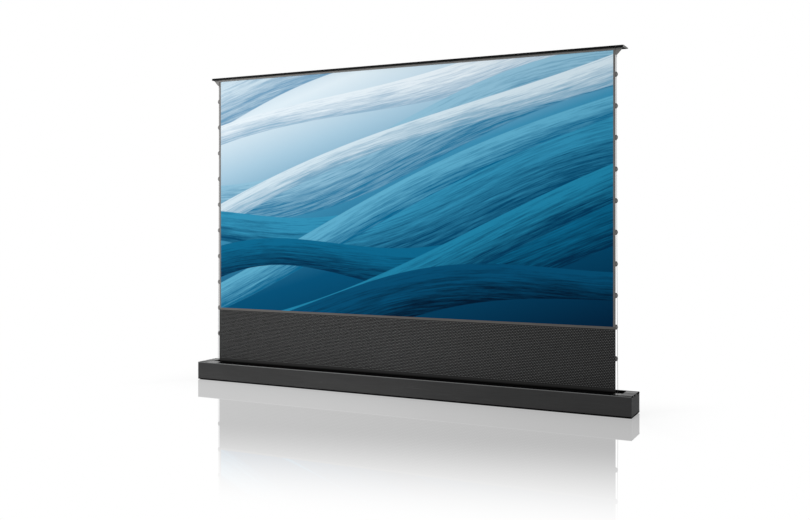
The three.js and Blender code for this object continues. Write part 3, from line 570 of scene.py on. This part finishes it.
def ribbon_picture(finish, place):
    x, _, z = finish.axes(place)
    across = (x + picture_half) / picture_width
    up = (z - picture_bottom) / picture_height
    slant = up * (1 - WASH_SLANT) + (1 - across) * WASH_SLANT
    picture = finish.node("ValToRGB", {"stops": WASH_STOPS}, {"Fac": slant})
    for level, rise, swell, waves, phase, breadth, shaded, bright in RIBBONS:
        turns = (across * waves + phase) * (2 * math.pi)
        depth = turns.math("SINE") * swell + across * rise + level - up
        change = (turns * BREADTH_TURN + BREADTH_PHASE).math("COSINE")
        share = depth / (change * (breadth * BREADTH_CHANGE) + breadth)
        sheen = SHEEN - share * SHEEN_FALL
        for streaks in (SILK_STREAKS, THREAD_STREAKS):
            sheen = sheen + ribbon_streaks(finish, across, depth, phase, streaks)
        inside = past(depth, RIBBON_EDGE) * past(1 - share, RIBBON_FAR_EDGE)
        picture = finish.blended(inside, picture, finish.blended(sheen, shaded, bright))
    dimmed = finish.node("VectorMath", {"operation": "SCALE"}, {0: picture, 3: DIM_SIDE})
    return finish.blended(across, dimmed, picture)


def picture_finish():
    """Matt projection cloth, with the picture on it."""
    finish = new_finish()
    place = finish.place()
    grain = finish.noise(place, scale=2600, detail=2)
    inputs = {
        "Base Color": ribbon_picture(finish, place),
        "Roughness": grain * 0.1 + 0.72,
        "Specular IOR Level": 0.02,
        "Normal": finish.bumped(grain, strength=0.12, distance=0.0001),
    }
    return finish.surface(inputs)


# Knitted mesh of the drop: how far its knots stand apart, across and up, and where one is
KNOT_PITCH = 0.009158
KNOT_ROW = 0.008803
KNOT_PLACE = (0.0034, 0.0011)
KNOT_CRISP = 5
NET_CRISP = 8
NET_SHARE = 0.025
DROP_SIDE_SHADE = 0.28


def perforated_finish(thread, hole):
    """Knitted mesh: a net of slanting threads, pale where they are knotted, with dark holes, and
    painted shade towards both sides.
    """
    finish = new_finish()
    place = finish.place()
    x, _, z = finish.axes(place)
    across = (x - KNOT_PLACE[0]) * (2 * math.pi / KNOT_PITCH)
    up = (z - KNOT_PLACE[1]) * (math.pi / KNOT_ROW)
    one_way, other_way = (across + up).math("COSINE"), (across - up).math("COSINE")
    knot = ((one_way + other_way) * 0.5).math("MAXIMUM", 0).math("POWER", KNOT_CRISP)
    net = deepest(one_way, other_way, 0).math("POWER", NET_CRISP)
    height = knot + net * NET_SHARE
    # Painted shade: the mesh darkens towards both sides of the cloth
    tone = height * (1 - abs(x) * (DROP_SIDE_SHADE / cloth_half))
    inputs = {
        "Base Color": finish.blended(tone, hole, thread),
        "Roughness": net * 0.1 + 0.72,
        "Specular IOR Level": 0.12,
        "Normal": finish.bumped(knot * 0.6 + net * 0.4, strength=0.5, distance=0.0006),
    }
    return finish.surface(inputs)


# Edge tapes and cords
RIB_PITCH = 0.0012
FOLD_GAIN = 500
LOW_GAIN = 400
LOW_SHADE = 0.8
TAPE_SHADE = 0.75
STRAND_TURNS = (1500, 900, 2600)


def tape_finish(colour):
    """Ribbed edge tape, darker at both ends of each tab, and beside the black drop."""
    finish = new_finish()
    place = finish.place()
    x, _, z = finish.axes(place)
    ribs = raised(wave(z, RIB_PITCH))
    tab_turn = ((z - TAB_LOWEST) / TAB_PITCH + 0.5).math("FRACT") - 0.5
    tab_end = past(abs(tab_turn) * TAB_PITCH - TAB_HALF / 3, 3 / TAB_HALF)
    fold = past(abs(x) - cloth_half, FOLD_GAIN) * tab_end
    dark = deepest(fold, past(cloth_low.z - z, LOW_GAIN) * LOW_SHADE)
    plain = finish.varied(ribs, colour, dark=0.88, light=1.12)
    inputs = {
        "Base Color": finish.blended(dark * TAPE_SHADE, plain, toned(colour, 0.3)),
        "Roughness": ribs * 0.08 + 0.7,
        "Specular IOR Level": 0.15,
        "Normal": finish.bumped(ribs, strength=0.3, distance=0.0002),
    }
    return finish.surface(inputs)


def cord_finish(colour):
    """Braided fibre: strands that cross on a fine helix both ways round the cord."""
    finish = new_finish()
    x, y, z = finish.axes(finish.place())
    x_turns, y_turns, z_turns = STRAND_TURNS
    across = x * x_turns + y * y_turns
    one_way = (z * z_turns + across).math("SINE")
    other_way = (z * z_turns - across).math("SINE")
    strands = raised(one_way * other_way)
    inputs = {
        "Base Color": finish.varied(strands, colour, dark=0.75, light=1.05),
        "Roughness": strands * 0.1 + 0.6,
        "Normal": finish.bumped(strands, strength=0.4, distance=0.0003),
    }
    return finish.surface(inputs)


# Selecting and shaping
def put_down():
    """Leaves edit mode, with nothing selected."""
    if bpy.context.object and bpy.context.object.mode != "OBJECT":
        bpy.ops.object.mode_set(mode="OBJECT")
    bpy.ops.object.select_all(action="DESELECT")


def pick_up(piece):
    put_down()
    piece.select_set(True)
    bpy.context.view_layer.objects.active = piece


def pick_whole(piece):
    """In edit mode, with everything selected."""
    pick_up(piece)
    bpy.ops.object.mode_set(mode="EDIT")
    bpy.ops.mesh.select_all(action="SELECT")


def choose(piece, kind, test):
    """In edit mode, selects the faces, edges or points that pass a test."""
    pick_up(piece)
    bpy.ops.object.mode_set(mode="EDIT")
    bpy.ops.mesh.select_mode(type=kind)
    bpy.ops.mesh.select_all(action="DESELECT")
    shape = bmesh.from_edit_mesh(piece.data)
    elements = {"VERT": shape.verts, "EDGE": shape.edges, "FACE": shape.faces}[kind]
    for element in elements:
        if test(element):
            element.select_set(True)
    shape.select_flush_mode()
    bmesh.update_edit_mesh(piece.data)


FACING = 0.5


def faces_rear(face):
    return face.normal.y > FACING


def settled(piece, name):
    """Names a new piece and moves its place, turn and scale into its mesh."""
    pick_up(piece)
    piece.name = name
    piece.data.name = name
    bpy.ops.object.transform_apply(location=True, rotation=True, scale=True)
    return piece


def add_modifier(piece, kind, **settings):
    pick_up(piece)
    modifier = piece.modifiers.new(kind.lower(), kind)
    for name, value in settings.items():
        setattr(modifier, name, value)
    bpy.ops.object.modifier_apply(modifier=modifier.name)


def ease(piece, width, segments=2, angle=30):
    """Breaks the sharp edges and shades the rest smooth."""
    settings = {"width": width, "segments": segments, "limit_method": "ANGLE"}
    add_modifier(piece, "BEVEL", angle_limit=math.radians(angle), **settings)
    smooth(piece, angle)


def smooth(piece, angle=30):
    pick_up(piece)
    bpy.ops.object.shade_smooth_by_angle(angle=math.radians(angle))
    add_modifier(piece, "WEIGHTED_NORMAL", keep_sharp=True)


def paint(piece, finish):
    piece.data.materials.clear()
    piece.data.materials.append(finish)


def dress(piece, finish, body):
    paint(piece, finish)
    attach(piece, body)


def merged(pieces, name):
    put_down()
    for piece in pieces:
        piece.select_set(True)
    bpy.context.view_layer.objects.active = pieces[0]
    bpy.ops.object.join()
    pieces[0].name = name
    pieces[0].data.name = name
    return pieces[0]


def turn_outward(piece):
    pick_whole(piece)
    bpy.ops.mesh.normals_make_consistent(inside=False)
    put_down()


# CAD pieces whose corners are eased: a copy with merged points stands for the node
MERGE_REACH = 0.000005
FLAT_ANGLE = math.radians(0.5)


def add_eased_copy(node, finish, width):
    source = frame["nodes"][node]
    body = source["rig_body"]
    piece = source.copy()
    piece.data = source.data.copy()
    piece.parent = None
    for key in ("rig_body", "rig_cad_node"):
        del piece[key]
    bpy.context.scene.collection.objects.link(piece)
    settled(piece, node + "_eased")
    bpy.ops.mesh.customdata_custom_splitnormals_clear()
    pick_whole(piece)
    bpy.ops.mesh.remove_doubles(threshold=MERGE_REACH)
    bpy.ops.mesh.dissolve_limited(angle_limit=FLAT_ANGLE, delimit=set())
    put_down()
    ease(piece, width)
    dress(piece, finish, body)
    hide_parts(node)


# Cloth: the picture over the black drop
def upright_plane(name, left, right, bottom, top, y):
    """A flat sheet that faces the front."""
    bpy.ops.mesh.primitive_plane_add(
        size=1,
        location=((left + right) / 2, y, (bottom + top) / 2),
        rotation=(math.radians(90), 0, 0),
    )
    piece = bpy.context.object
    piece.scale = (right - left, top - bottom, 1)
    return settled(piece, name)


def cut_line(piece, point, normal):
    pick_whole(piece)
    bpy.ops.mesh.bisect(plane_co=point, plane_no=normal)
    put_down()


def finish_sheet(sheet, finishes, names, part):
    """Gives each face the finish that its place asks for, and then the cloth its backing."""
    for name in names:
        sheet.data.materials.append(finishes[name])
    for face in sheet.data.polygons:
        face.material_index = names.index(part(face.center))
    add_modifier(sheet, "SOLIDIFY", thickness=cloth_thickness, offset=-1)
    for face in sheet.data.polygons:
        if faces_rear(face):
            face.material_index = names.index("backing_cloth")


def picture_sheet(finishes):
    bottom, top = cloth_low.z, cloth_high.z
    sheet = upright_plane("picture_sheet", -cloth_half, cloth_half, bottom, top, cloth_front)
    for x in (-picture_half, picture_half):
        cut_line(sheet, (x, 0, 0), (1, 0, 0))
    for z in (bottom + BAND_SEAM, picture_bottom, picture_top):
        cut_line(sheet, (0, 0, z), (0, 0, 1))
    names = ("picture_cloth", "border_cloth", "backing_cloth", "band_cloth", "hem_cloth")
    finish_sheet(sheet, finishes, names, picture_part)
    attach(sheet, "housing")
    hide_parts("viewing_surface")
    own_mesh(sheet)


def picture_part(place):
    if place.z < cloth_low.z + BAND_SEAM:
        return "hem_cloth"
    if place.z < picture_bottom:
        return "band_cloth"
    in_picture = abs(place.x) < picture_half and place.z < picture_top
    return "picture_cloth" if in_picture else "border_cloth"


WELD_HEIGHT = 0.004
WELD_RISE = 0.0004


def drop_sheet(finishes):
    bottom, top = drop_low.z, cloth_low.z
    sheet = upright_plane("drop_sheet", -cloth_half, cloth_half, bottom, top, cloth_front)
    for z in (hem_top, hem_top + WELD_HEIGHT, top - WELD_HEIGHT):
        cut_line(sheet, (0, 0, z), (0, 0, 1))
    names = ("drop_cloth", "hem_cloth", "backing_cloth")
    finish_sheet(sheet, finishes, names, drop_part)
    choose(sheet, "FACE", is_weld_front)
    bpy.ops.mesh.extrude_region_move(TRANSFORM_OT_translate={"value": (0, -WELD_RISE, 0)})
    put_down()
    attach(sheet, "housing")
    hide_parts("black_drop")
    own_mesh(sheet)


def drop_part(place):
    """Knitted mesh between the two welds, and hem cloth on and below them."""
    knitted = hem_top + WELD_HEIGHT < place.z < cloth_low.z - WELD_HEIGHT
    return "drop_cloth" if knitted else "hem_cloth"


def is_weld_front(face):
    z = face.calc_center_median().z
    on_weld = hem_top < z < hem_top + WELD_HEIGHT or z > cloth_low.z - WELD_HEIGHT
    return on_weld and face.normal.y < -FACING


# Edge tapes: a welded strip with ten round tabs, each folded into a sleeve round the cord
TAB_COUNT = 10
TAB_REACH = 0.0132
TAB_ROOT = 0.004
TAPE_THICKNESS = 0.0008
SLEEVE_RADIUS = 0.0018
SLEEVE_LENGTH = 0.011
CORD_NEAREST_DROP = 0.27
CORD_NEAR_GAP = 0.005
CORD_FAR_GAP = 0.012
cord_nearest = picture_top - CORD_NEAREST_DROP


def cord_gap(z):
    """How far the cord runs outside the cloth's edge at a height."""
    share = (cord_nearest - z) / (cord_nearest - housing_high.z)
    return CORD_NEAR_GAP + (CORD_FAR_GAP - CORD_NEAR_GAP) * share * share


def tab(side, z, y):
    bpy.ops.mesh.primitive_circle_add(
        vertices=32,
        radius=1,
        fill_type="NGON",
        location=(side * cloth_half, y, z),
        rotation=(math.radians(90), 0, 0),
    )
    piece = bpy.context.object
    piece.scale = (TAB_REACH, TAB_HALF, 1)
    pick_whole(settled(piece, "tab"))
    root = (side * (cloth_half - TAB_ROOT), 0, 0)
    inward = (-side, 0, 0)
    bpy.ops.mesh.bisect(plane_co=root, plane_no=inward, clear_outer=True)
    put_down()
    add_modifier(piece, "SOLIDIFY", thickness=TAPE_THICKNESS, offset=-1)
    ease(piece, TAPE_THICKNESS / 4, segments=1, angle=60)
    return piece


def sleeve(side, z, cord_y):
    bpy.ops.mesh.primitive_cylinder_add(
        vertices=16,
        radius=SLEEVE_RADIUS,
        depth=SLEEVE_LENGTH,
        end_fill_type="NOTHING",
        location=(side * (cloth_half + cord_gap(z)), cord_y, z),
    )
    piece = settled(bpy.context.object, "sleeve")
    add_modifier(piece, "SOLIDIFY", thickness=TAPE_THICKNESS / 2, offset=-1)
    smooth(piece, angle=50)
    return piece


def edge_tape(name, side, finishes):
    node = name + "_tension_tape"
    low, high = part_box(node)
    cord_low, cord_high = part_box(name + "_tension_cord")
    cord_y = (cord_low.y + cord_high.y) / 2
    left, right = sorted((side * cloth_half, side * picture_half))
    strip = upright_plane("strip", left, right, low.z, high.z, low.y)
    add_modifier(strip, "SOLIDIFY", thickness=TAPE_THICKNESS, offset=-1)
    parts = [strip]
    for i in range(TAB_COUNT):
        z = TAB_LOWEST + i * TAB_PITCH
        parts += [tab(side, z, low.y), sleeve(side, z, cord_y)]
    tape = merged(parts, name + "_edge_tape")
    dress(tape, finishes["edge_tape"], "housing")
    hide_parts(node)
    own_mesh(tape)


CORD_STEPS = 60


def tension_cord(name, side, finishes):
    node = name + "_tension_cord"
    low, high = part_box(node)
    y = (low.y + high.y) / 2
    line = bpy.data.curves.new(name + "_edge_cord", "CURVE")
    line.dimensions = "3D"
    spline = line.splines.new("POLY")
    spline.points.add(CORD_STEPS)
    for i, point in enumerate(spline.points):
        z = low.z + (high.z - low.z) * i / CORD_STEPS
        point.co = (side * (cloth_half + cord_gap(z)), y, z, 1)
    line.bevel_depth = (high.y - low.y) / 2
    line.bevel_resolution = 3
    line.use_fill_caps = True
    cord = bpy.data.objects.new(name + "_edge_cord", line)
    bpy.context.scene.collection.objects.link(cord)
    pick_up(cord)
    bpy.ops.object.convert(target="MESH")
    cord = bpy.context.object
    smooth(cord, angle=50)
    dress(cord, finishes["edge_cord"], "housing")
    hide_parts(node)
    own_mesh(cord)


# The cloth that stays on the tube
ROLL_TURNS = 2
ROLL_STEPS = 64
ROLL_GAP = 0.0003
ROLL_PITCH = 0.001


def rolled_cloth(finishes):
    """Two turns of cloth round the tube, which end where the drop leaves the roll."""
    steps = ROLL_TURNS * ROLL_STEPS
    bpy.ops.mesh.primitive_grid_add(x_subdivisions=1, y_subdivisions=steps, size=1)
    piece = settled(bpy.context.object, "rolled_cloth")
    for point in piece.data.vertices:
        step = (point.co.y + 0.5) * steps
        angle = (step - steps) * 2 * math.pi / ROLL_STEPS
        radius = roller_radius + ROLL_GAP + cloth_thickness + ROLL_PITCH * step / ROLL_STEPS
        y = roller_y + radius * math.cos(angle)
        z = roller_z + radius * math.sin(angle)
        point.co = (point.co.x * 2 * cloth_half, y, z)
    turn_outward(piece)
    add_modifier(piece, "SOLIDIFY", thickness=cloth_thickness, offset=-1)
    smooth(piece, angle=40)
    dress(piece, finishes["backing_cloth"], "roller")
    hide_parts("cloth_roll")


# Screws with a hexagon socket
SOCKET_SHARE = 0.5
SOCKET_DEPTH = 0.6
HEAD_EASE = 0.12


def socket_screw(radius, height):
    """A screw head that faces up, with its underside at zero."""
    top = (0, 0, height)
    inner = radius * SOCKET_SHARE
    between = (inner + radius) / 2
    bpy.ops.mesh.primitive_circle_add(vertices=24, radius=radius, location=top)
    piece = settled(bpy.context.object, "screw")
    bpy.ops.object.mode_set(mode="EDIT")
    bpy.ops.mesh.primitive_circle_add(vertices=6, radius=inner, location=top)
    bpy.ops.mesh.select_all(action="SELECT")
    bpy.ops.mesh.bridge_edge_loops()
    put_down()
    choose(piece, "VERT", lambda point: point.co.xy.length < between)
    lower_and_close(height * SOCKET_DEPTH)
    choose(piece, "VERT", lambda point: point.co.xy.length > between)
    lower_and_close(height)
    turn_outward(piece)
    return piece


def lower_and_close(depth):
    """Sinks the selected points, and closes the opening that they surround."""
    bpy.ops.mesh.extrude_region_move(TRANSFORM_OT_translate={"value": (0, 0, -depth)})
    bpy.ops.mesh.edge_face_add()
    put_down()


def screws(name, size, places, axis, finish, body):
    """One screw head at each place, all facing along an axis."""
    radius, height = size
    pattern = socket_screw(radius, height)
    turn = Vector(axis).to_track_quat("Z", "Y").to_euler()
    heads = []
    for i, place in enumerate(places):
        head = pattern.copy()
        head.data = pattern.data.copy()
        bpy.context.scene.collection.objects.link(head)
        head.rotation_euler = turn
        head.location = place
        heads.append(settled(head, f"{name}_{i}"))
    bpy.data.objects.remove(pattern)
    group = merged(heads, name)
    ease(group, radius * HEAD_EASE, angle=50)
    dress(group, finish, body)


# Radius and height of each kind of screw head, and where the screws sit
CAP_SCREW = (0.0032, 0.0014)
FOOT_SCREW = (0.0045, 0.004)
PLATE_SCREW = (0.0034, 0.0018)
INLET_SCREW = (0.003, 0.0012)
WALL = 0.0025
TOP_WALL = 0.003
CHANNEL_INSET = 0.0028
ROLLER_FOOT_INSET = 0.011
ROLLER_FOOT_HEIGHT = 0.003
ROLLER_FOOT_REACH = 0.02
BASE_FOOT_HEIGHT = 0.004
BASE_FOOT_REACH = 0.038
TOP_FOOT_HEIGHT = 0.003
TOP_FOOT_REACH = 0.037
GUSSET_REACHES = (0.008, 0.026)
GUSSET_DROP = 0.014
INLET_REACH = 0.02


def two_places(x, y, z, x_reach=0, y_reach=0):
    """Both sides of a middle place."""
    return [(x + side * x_reach, y + side * y_reach, z) for side in (-1, 1)]


def end_screws(name, side):
    """Each set of screws at one end: what it holds, its size, places, axis and body."""
    low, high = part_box(name + "_end_cap")
    x = low.x if side < 0 else high.x
    _, panel_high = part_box("rear_panel")
    depth = panel_high.y - WALL - CHANNEL_INSET
    levels = (housing_low.z + WALL + CHANNEL_INSET, housing_high.z - TOP_WALL - CHANNEL_INSET)
    places = [(x, y, z) for y in (-depth, depth) for z in levels]
    yield "cap", CAP_SCREW, places, (side, 0, 0), "housing"
    low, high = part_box(name + "_roller_bracket")
    x = side * (max(abs(low.x), abs(high.x)) - ROLLER_FOOT_INSET)
    places = two_places(x, roller_y, low.z + ROLLER_FOOT_HEIGHT, y_reach=ROLLER_FOOT_REACH)
    yield "roller_bracket", FOOT_SCREW, places, (0, 0, 1), "housing"
    low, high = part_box(name + "_base_bracket")
    x, y, _ = (low + high) / 2
    places = two_places(x, y, low.z + BASE_FOOT_HEIGHT, x_reach=BASE_FOOT_REACH)
    yield "base_bracket", FOOT_SCREW, places, (0, 0, 1), "housing"
    low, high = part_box(name + "_top_bracket")
    x, y, _ = (low + high) / 2
    places = two_places(x, y, high.z - TOP_FOOT_HEIGHT, x_reach=TOP_FOOT_REACH)
    yield "top_bracket", PLATE_SCREW, places, (0, 0, -1), "top_bar"
    _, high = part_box(name + "_gusset")
    z = high.z - GUSSET_DROP
    places = [(side * (cloth_half + reach), high.y, z) for reach in GUSSET_REACHES]
    yield "gusset", PLATE_SCREW, places, (0, 1, 0), "top_bar"


def add_screws(finishes):
    steel = finishes["bolt_steel"]
    for name, side in ENDS:
        for held, size, places, axis, body in end_screws(name, side):
            screws(f"{name}_{held}_screws", size, places, axis, steel, body)
    _, panel_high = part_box("rear_panel")
    low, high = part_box("power_inlet")
    x, _, z = (low + high) / 2
    places = two_places(x, panel_high.y, z, x_reach=INLET_REACH)
    screws("inlet_screws", INLET_SCREW, places, (0, 1, 0), steel, "housing")


# Inside the inlet: three flat blades on its floor, with narrower tips
INLET_DEPTH = 0.017
BLADE_SIZE = (0.002, 0.013, 0.004)
BLADE_PLACES = [(-0.007, -0.002), (0.007, -0.002), (0, 0.003)]
BLADE_TIP = (0.5, 1, 0.7)
FINE_EASE = 0.0003


def inlet_blades(finishes):
    low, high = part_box("power_inlet")
    centre = (low + high) / 2
    y = high.y - INLET_DEPTH + BLADE_SIZE[1] / 2
    for i, (x, z) in enumerate(BLADE_PLACES):
        bpy.ops.mesh.primitive_cube_add(size=1, location=(centre.x + x, y, centre.z + z))
        blade = bpy.context.object
        blade.scale = BLADE_SIZE
        settled(blade, f"inlet_blade_{i + 1}")
        choose(blade, "FACE", faces_rear)
        bpy.ops.transform.resize(value=BLADE_TIP)
        put_down()
        ease(blade, FINE_EASE)
        dress(blade, finishes["bolt_steel"], "housing")


# The cord ends are crimped under the gussets
CRIMP_RADIUS = 0.0021
CRIMP_LENGTH = 0.012
CRIMP_NECK = 0.0015
CRIMP_PINCH = (0.8, 0.8, 1)


def cord_anchors(finishes):
    for name, side in ENDS:
        low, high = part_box(name + "_tension_cord")
        gusset_low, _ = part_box(name + "_gusset")
        z = gusset_low.z - CRIMP_LENGTH / 2
        place = (side * (cloth_half + cord_gap(high.z)), (low.y + high.y) / 2, z)
        bpy.ops.mesh.primitive_cylinder_add(
            vertices=20, radius=CRIMP_RADIUS, depth=CRIMP_LENGTH, location=place
        )
        crimp = settled(bpy.context.object, name + "_cord_crimp")
        choose(crimp, "EDGE", runs_along)
        bpy.ops.mesh.subdivide(number_cuts=4)
        put_down()
        choose(crimp, "VERT", lambda point: abs(point.co.z - z) < CRIMP_NECK)
        bpy.ops.transform.resize(value=CRIMP_PINCH, center_override=place)
        put_down()
        ease(crimp, FINE_EASE, angle=50)
        dress(crimp, finishes["bolt_steel"], "top_bar")


def runs_along(edge):
    start, end = edge.verts
    return abs(start.co.z - end.co.z) > CRIMP_LENGTH / 2


# The finishes, and the hard CAD pieces that take them
def finish_list():
    """Every finish, by its name."""
    black = srgb(48, 48, 48)
    finishes = {
        "black_aluminium": anodised_finish(black),
        # Black anodising with painted shade, and a painted highlight colour for the front edge
        "housing_aluminium_painted_light": housing_finish(black, srgb(108, 109, 109)),
        # Its colour is darker than black_aluminium's: painted shade against the key lamp's light on
        # the lid
        "lid_aluminium_painted_shade": anodised_finish(srgb(17, 18, 18), contrast=0.2, gloss=0.02, roughness=0.5),
        "black_plastic": moulded_finish(srgb(38, 39, 39), roughness=0.6),
        # A lighter copy of black_plastic: painted light on the caps' sides, which the key lamp
        # misses, with painted shade at the foot, top edge and notches
        "cap_plastic_painted_light": moulded_finish(srgb(64, 65, 65), roughness=0.6, is_cap=True),
        "grey_plastic": moulded_finish(srgb(112, 111, 109), roughness=0.55),
        # A lighter copy of grey_plastic: painted light against the shade under the lid
        "lid_cap_plastic_painted_light": moulded_finish(srgb(158, 157, 155), roughness=0.55),
        "zinc_steel": plated_finish(srgb(176, 178, 180), roughness=0.38),
        "bare_aluminium": plated_finish(srgb(184, 186, 188), roughness=0.34),
        "pin_steel": turned_finish(srgb(180, 182, 184), roughness=0.3),
        "bolt_steel": turned_finish(srgb(96, 97, 99), roughness=0.36),
        "cast_metal": coated_finish(srgb(70, 71, 73), roughness=0.45),
        "soft_rubber": rubber_finish(srgb(30, 30, 30)),
        "picture_cloth": picture_finish(),
        "border_cloth": plain_cloth_finish(srgb(104, 102, 100), FINE_WEAVE),
        "band_cloth": plain_cloth_finish(srgb(86, 84, 82), FINE_WEAVE),
        "backing_cloth": plain_cloth_finish(srgb(30, 30, 31), COARSE_WEAVE),
        "hem_cloth": plain_cloth_finish(srgb(37, 37, 37), COARSE_WEAVE, hem=True),
        "drop_cloth": perforated_finish(srgb(186, 187, 187), srgb(12, 12, 12)),
        "edge_tape": tape_finish(srgb(112, 111, 110)),
        "edge_cord": cord_finish(srgb(48, 48, 48)),
    }
    for name, material in finishes.items():
        material.name = name
    return finishes


EASE_WIDTHS = {
    "black_aluminium": 0.0004,
    "black_plastic": 0.0005,
    "grey_plastic": 0.0004,
    "cast_metal": 0.0012,
    "pin_steel": 0.0003,
    "soft_rubber": 0.0005,
}
KEPT_PLAIN = {"roller_bearing"}
SOFT_SLOTS = {"picture_cloth", "black_cloth", "grey_tape", "cord_fibre"}
SPECIAL_FINISHES = {
    "base_trough": "housing_aluminium_painted_light",
    "rear_panel": "housing_aluminium_painted_light",
    "front_cover": "housing_aluminium_painted_light",
    "left_end_top": "housing_aluminium_painted_light",
    "right_end_top": "housing_aluminium_painted_light",
    "left_end_cap": "cap_plastic_painted_light",
    "right_end_cap": "cap_plastic_painted_light",
    "top_lid": "lid_aluminium_painted_shade",
    "left_lid_cap": "lid_cap_plastic_painted_light",
    "right_lid_cap": "lid_cap_plastic_painted_light",
}


def dress_hard_pieces(finishes):
    for subpart in frame["record"]["subparts"]:
        node, slot = subpart["node"], subpart["material_slot"]
        if slot in SOFT_SLOTS:
            continue
        finish = finishes[SPECIAL_FINISHES.get(node, slot)]
        if slot in EASE_WIDTHS and node not in KEPT_PLAIN:
            add_eased_copy(node, finish, EASE_WIDTHS[slot])
        else:
            paint(frame["nodes"][node], finish)


# Floor and light
FLOOR_HALF = 14
FLOOR_COLOUR = (0.8, 0.8, 0.8)
FLOOR_DARK = (0.02, 0.02, 0.02)
WHITE = (1, 1, 1)
# The floor's mirror, whose share grows along X and fades out towards the front and the back
MIRROR_SHARE = 0.475
MIRROR_GAIN = 0.0275
MIRROR_END = 2.2
MIRROR_FADE = 1.3
MIRROR_SLANT = 0.19
# Shade on the floor: a wide faint one, and a narrow dark one under the foot
SHADE_SHARE = 0.2
SHADE_REACH = 0.5
FOOT_SHADE_REACH = 0.035
FOOT_SHADE_END_GAIN = 5
SKY_LIGHT = 0.38
KEY_PLACE = (-3.6, -4.2, 2.6)
KEY_AIM = (-0.4, 0, 0.8)
KEY_SIZE = 2.6
KEY_POWER = 285


def looked_at(finish):
    """One for the camera, also in a mirror or through a clear piece, and zero for light."""
    seen = finish.node("LightPath", output="Is Camera Ray")
    glossy = finish.node("LightPath", output="Is Glossy Ray")
    through = finish.node("LightPath", output="Is Transmission Ray")
    return (seen + glossy + through).clamped()


def floor_finish():
    """White to the camera, with a mirror that fades to the front and shade round the housing."""
    finish = new_finish("floor")
    x, y, _ = finish.axes(finish.place())
    out_x = abs(x) - housing_high.x
    out_y = abs(y) - housing_high.y
    near = (1 - deepest(out_x, out_y) / SHADE_REACH).clamped()
    under = (1 - deepest(out_x * FOOT_SHADE_END_GAIN, out_y) / FOOT_SHADE_REACH).clamped()
    under = under * under
    shade = deepest(near * near * SHADE_SHARE, under)
    fade = ((MIRROR_END - abs(y) - x * MIRROR_SLANT) / MIRROR_FADE).clamped()
    full_share = x * MIRROR_GAIN + MIRROR_SHARE
    mirror_share = fade * fade * (3 - 2 * fade) * full_share * (1 - under)
    white = finish.node("Emission", {}, {"Color": rgba(WHITE), "Strength": 1.0})
    tone = finish.blended(under, FLOOR_COLOUR, FLOOR_DARK)
    matt = finish.node("BsdfDiffuse", {}, {"Color": tone})
    mirror = finish.node("BsdfGlossy", {}, {"Color": rgba(WHITE), "Roughness": 0.0})
    pale = finish.node("MixShader", {}, {0: shade, 1: white, 2: matt})
    shown = finish.node("MixShader", {}, {0: mirror_share, 1: pale, 2: mirror})
    result = finish.node("MixShader", {}, {0: looked_at(finish), 1: matt, 2: shown})
    finish.node("OutputMaterial", {}, {"Surface": result})
    return finish.owner


def add_floor():
    bpy.ops.mesh.primitive_plane_add(size=2 * FLOOR_HALF, location=(0, 0, 0))
    floor = settled(bpy.context.object, "floor")
    floor.data.materials.append(floor_finish())


def add_light():
    world = bpy.data.worlds.new("studio")
    bpy.context.scene.world = world
    finish = Finish(world)
    soft = finish.node("Background", {}, {"Color": rgba(WHITE), "Strength": SKY_LIGHT})
    white = finish.node("Background", {}, {"Color": rgba(WHITE), "Strength": 1.0})
    result = finish.node("MixShader", {}, {0: looked_at(finish), 1: soft, 2: white})
    finish.node("OutputWorld", {}, {"Surface": result})
    bpy.ops.object.light_add(type="AREA", location=KEY_PLACE)
    key = bpy.context.object
    key.name = "key_light"
    key.data.size = KEY_SIZE
    key.data.energy = KEY_POWER
    key.rotation_euler = (Vector(KEY_AIM) - Vector(KEY_PLACE)).to_track_quat("-Z", "Y").to_euler()
    bpy.context.scene.view_settings.view_transform = "Standard"


add_camera()
finishes = finish_list()
picture_sheet(finishes)
drop_sheet(finishes)
for name, side in ENDS:
    edge_tape(name, side, finishes)
    tension_cord(name, side, finishes)
rolled_cloth(finishes)
dress_hard_pieces(finishes)
add_screws(finishes)
inlet_blades(finishes)
cord_anchors(finishes)
add_floor()
add_light()
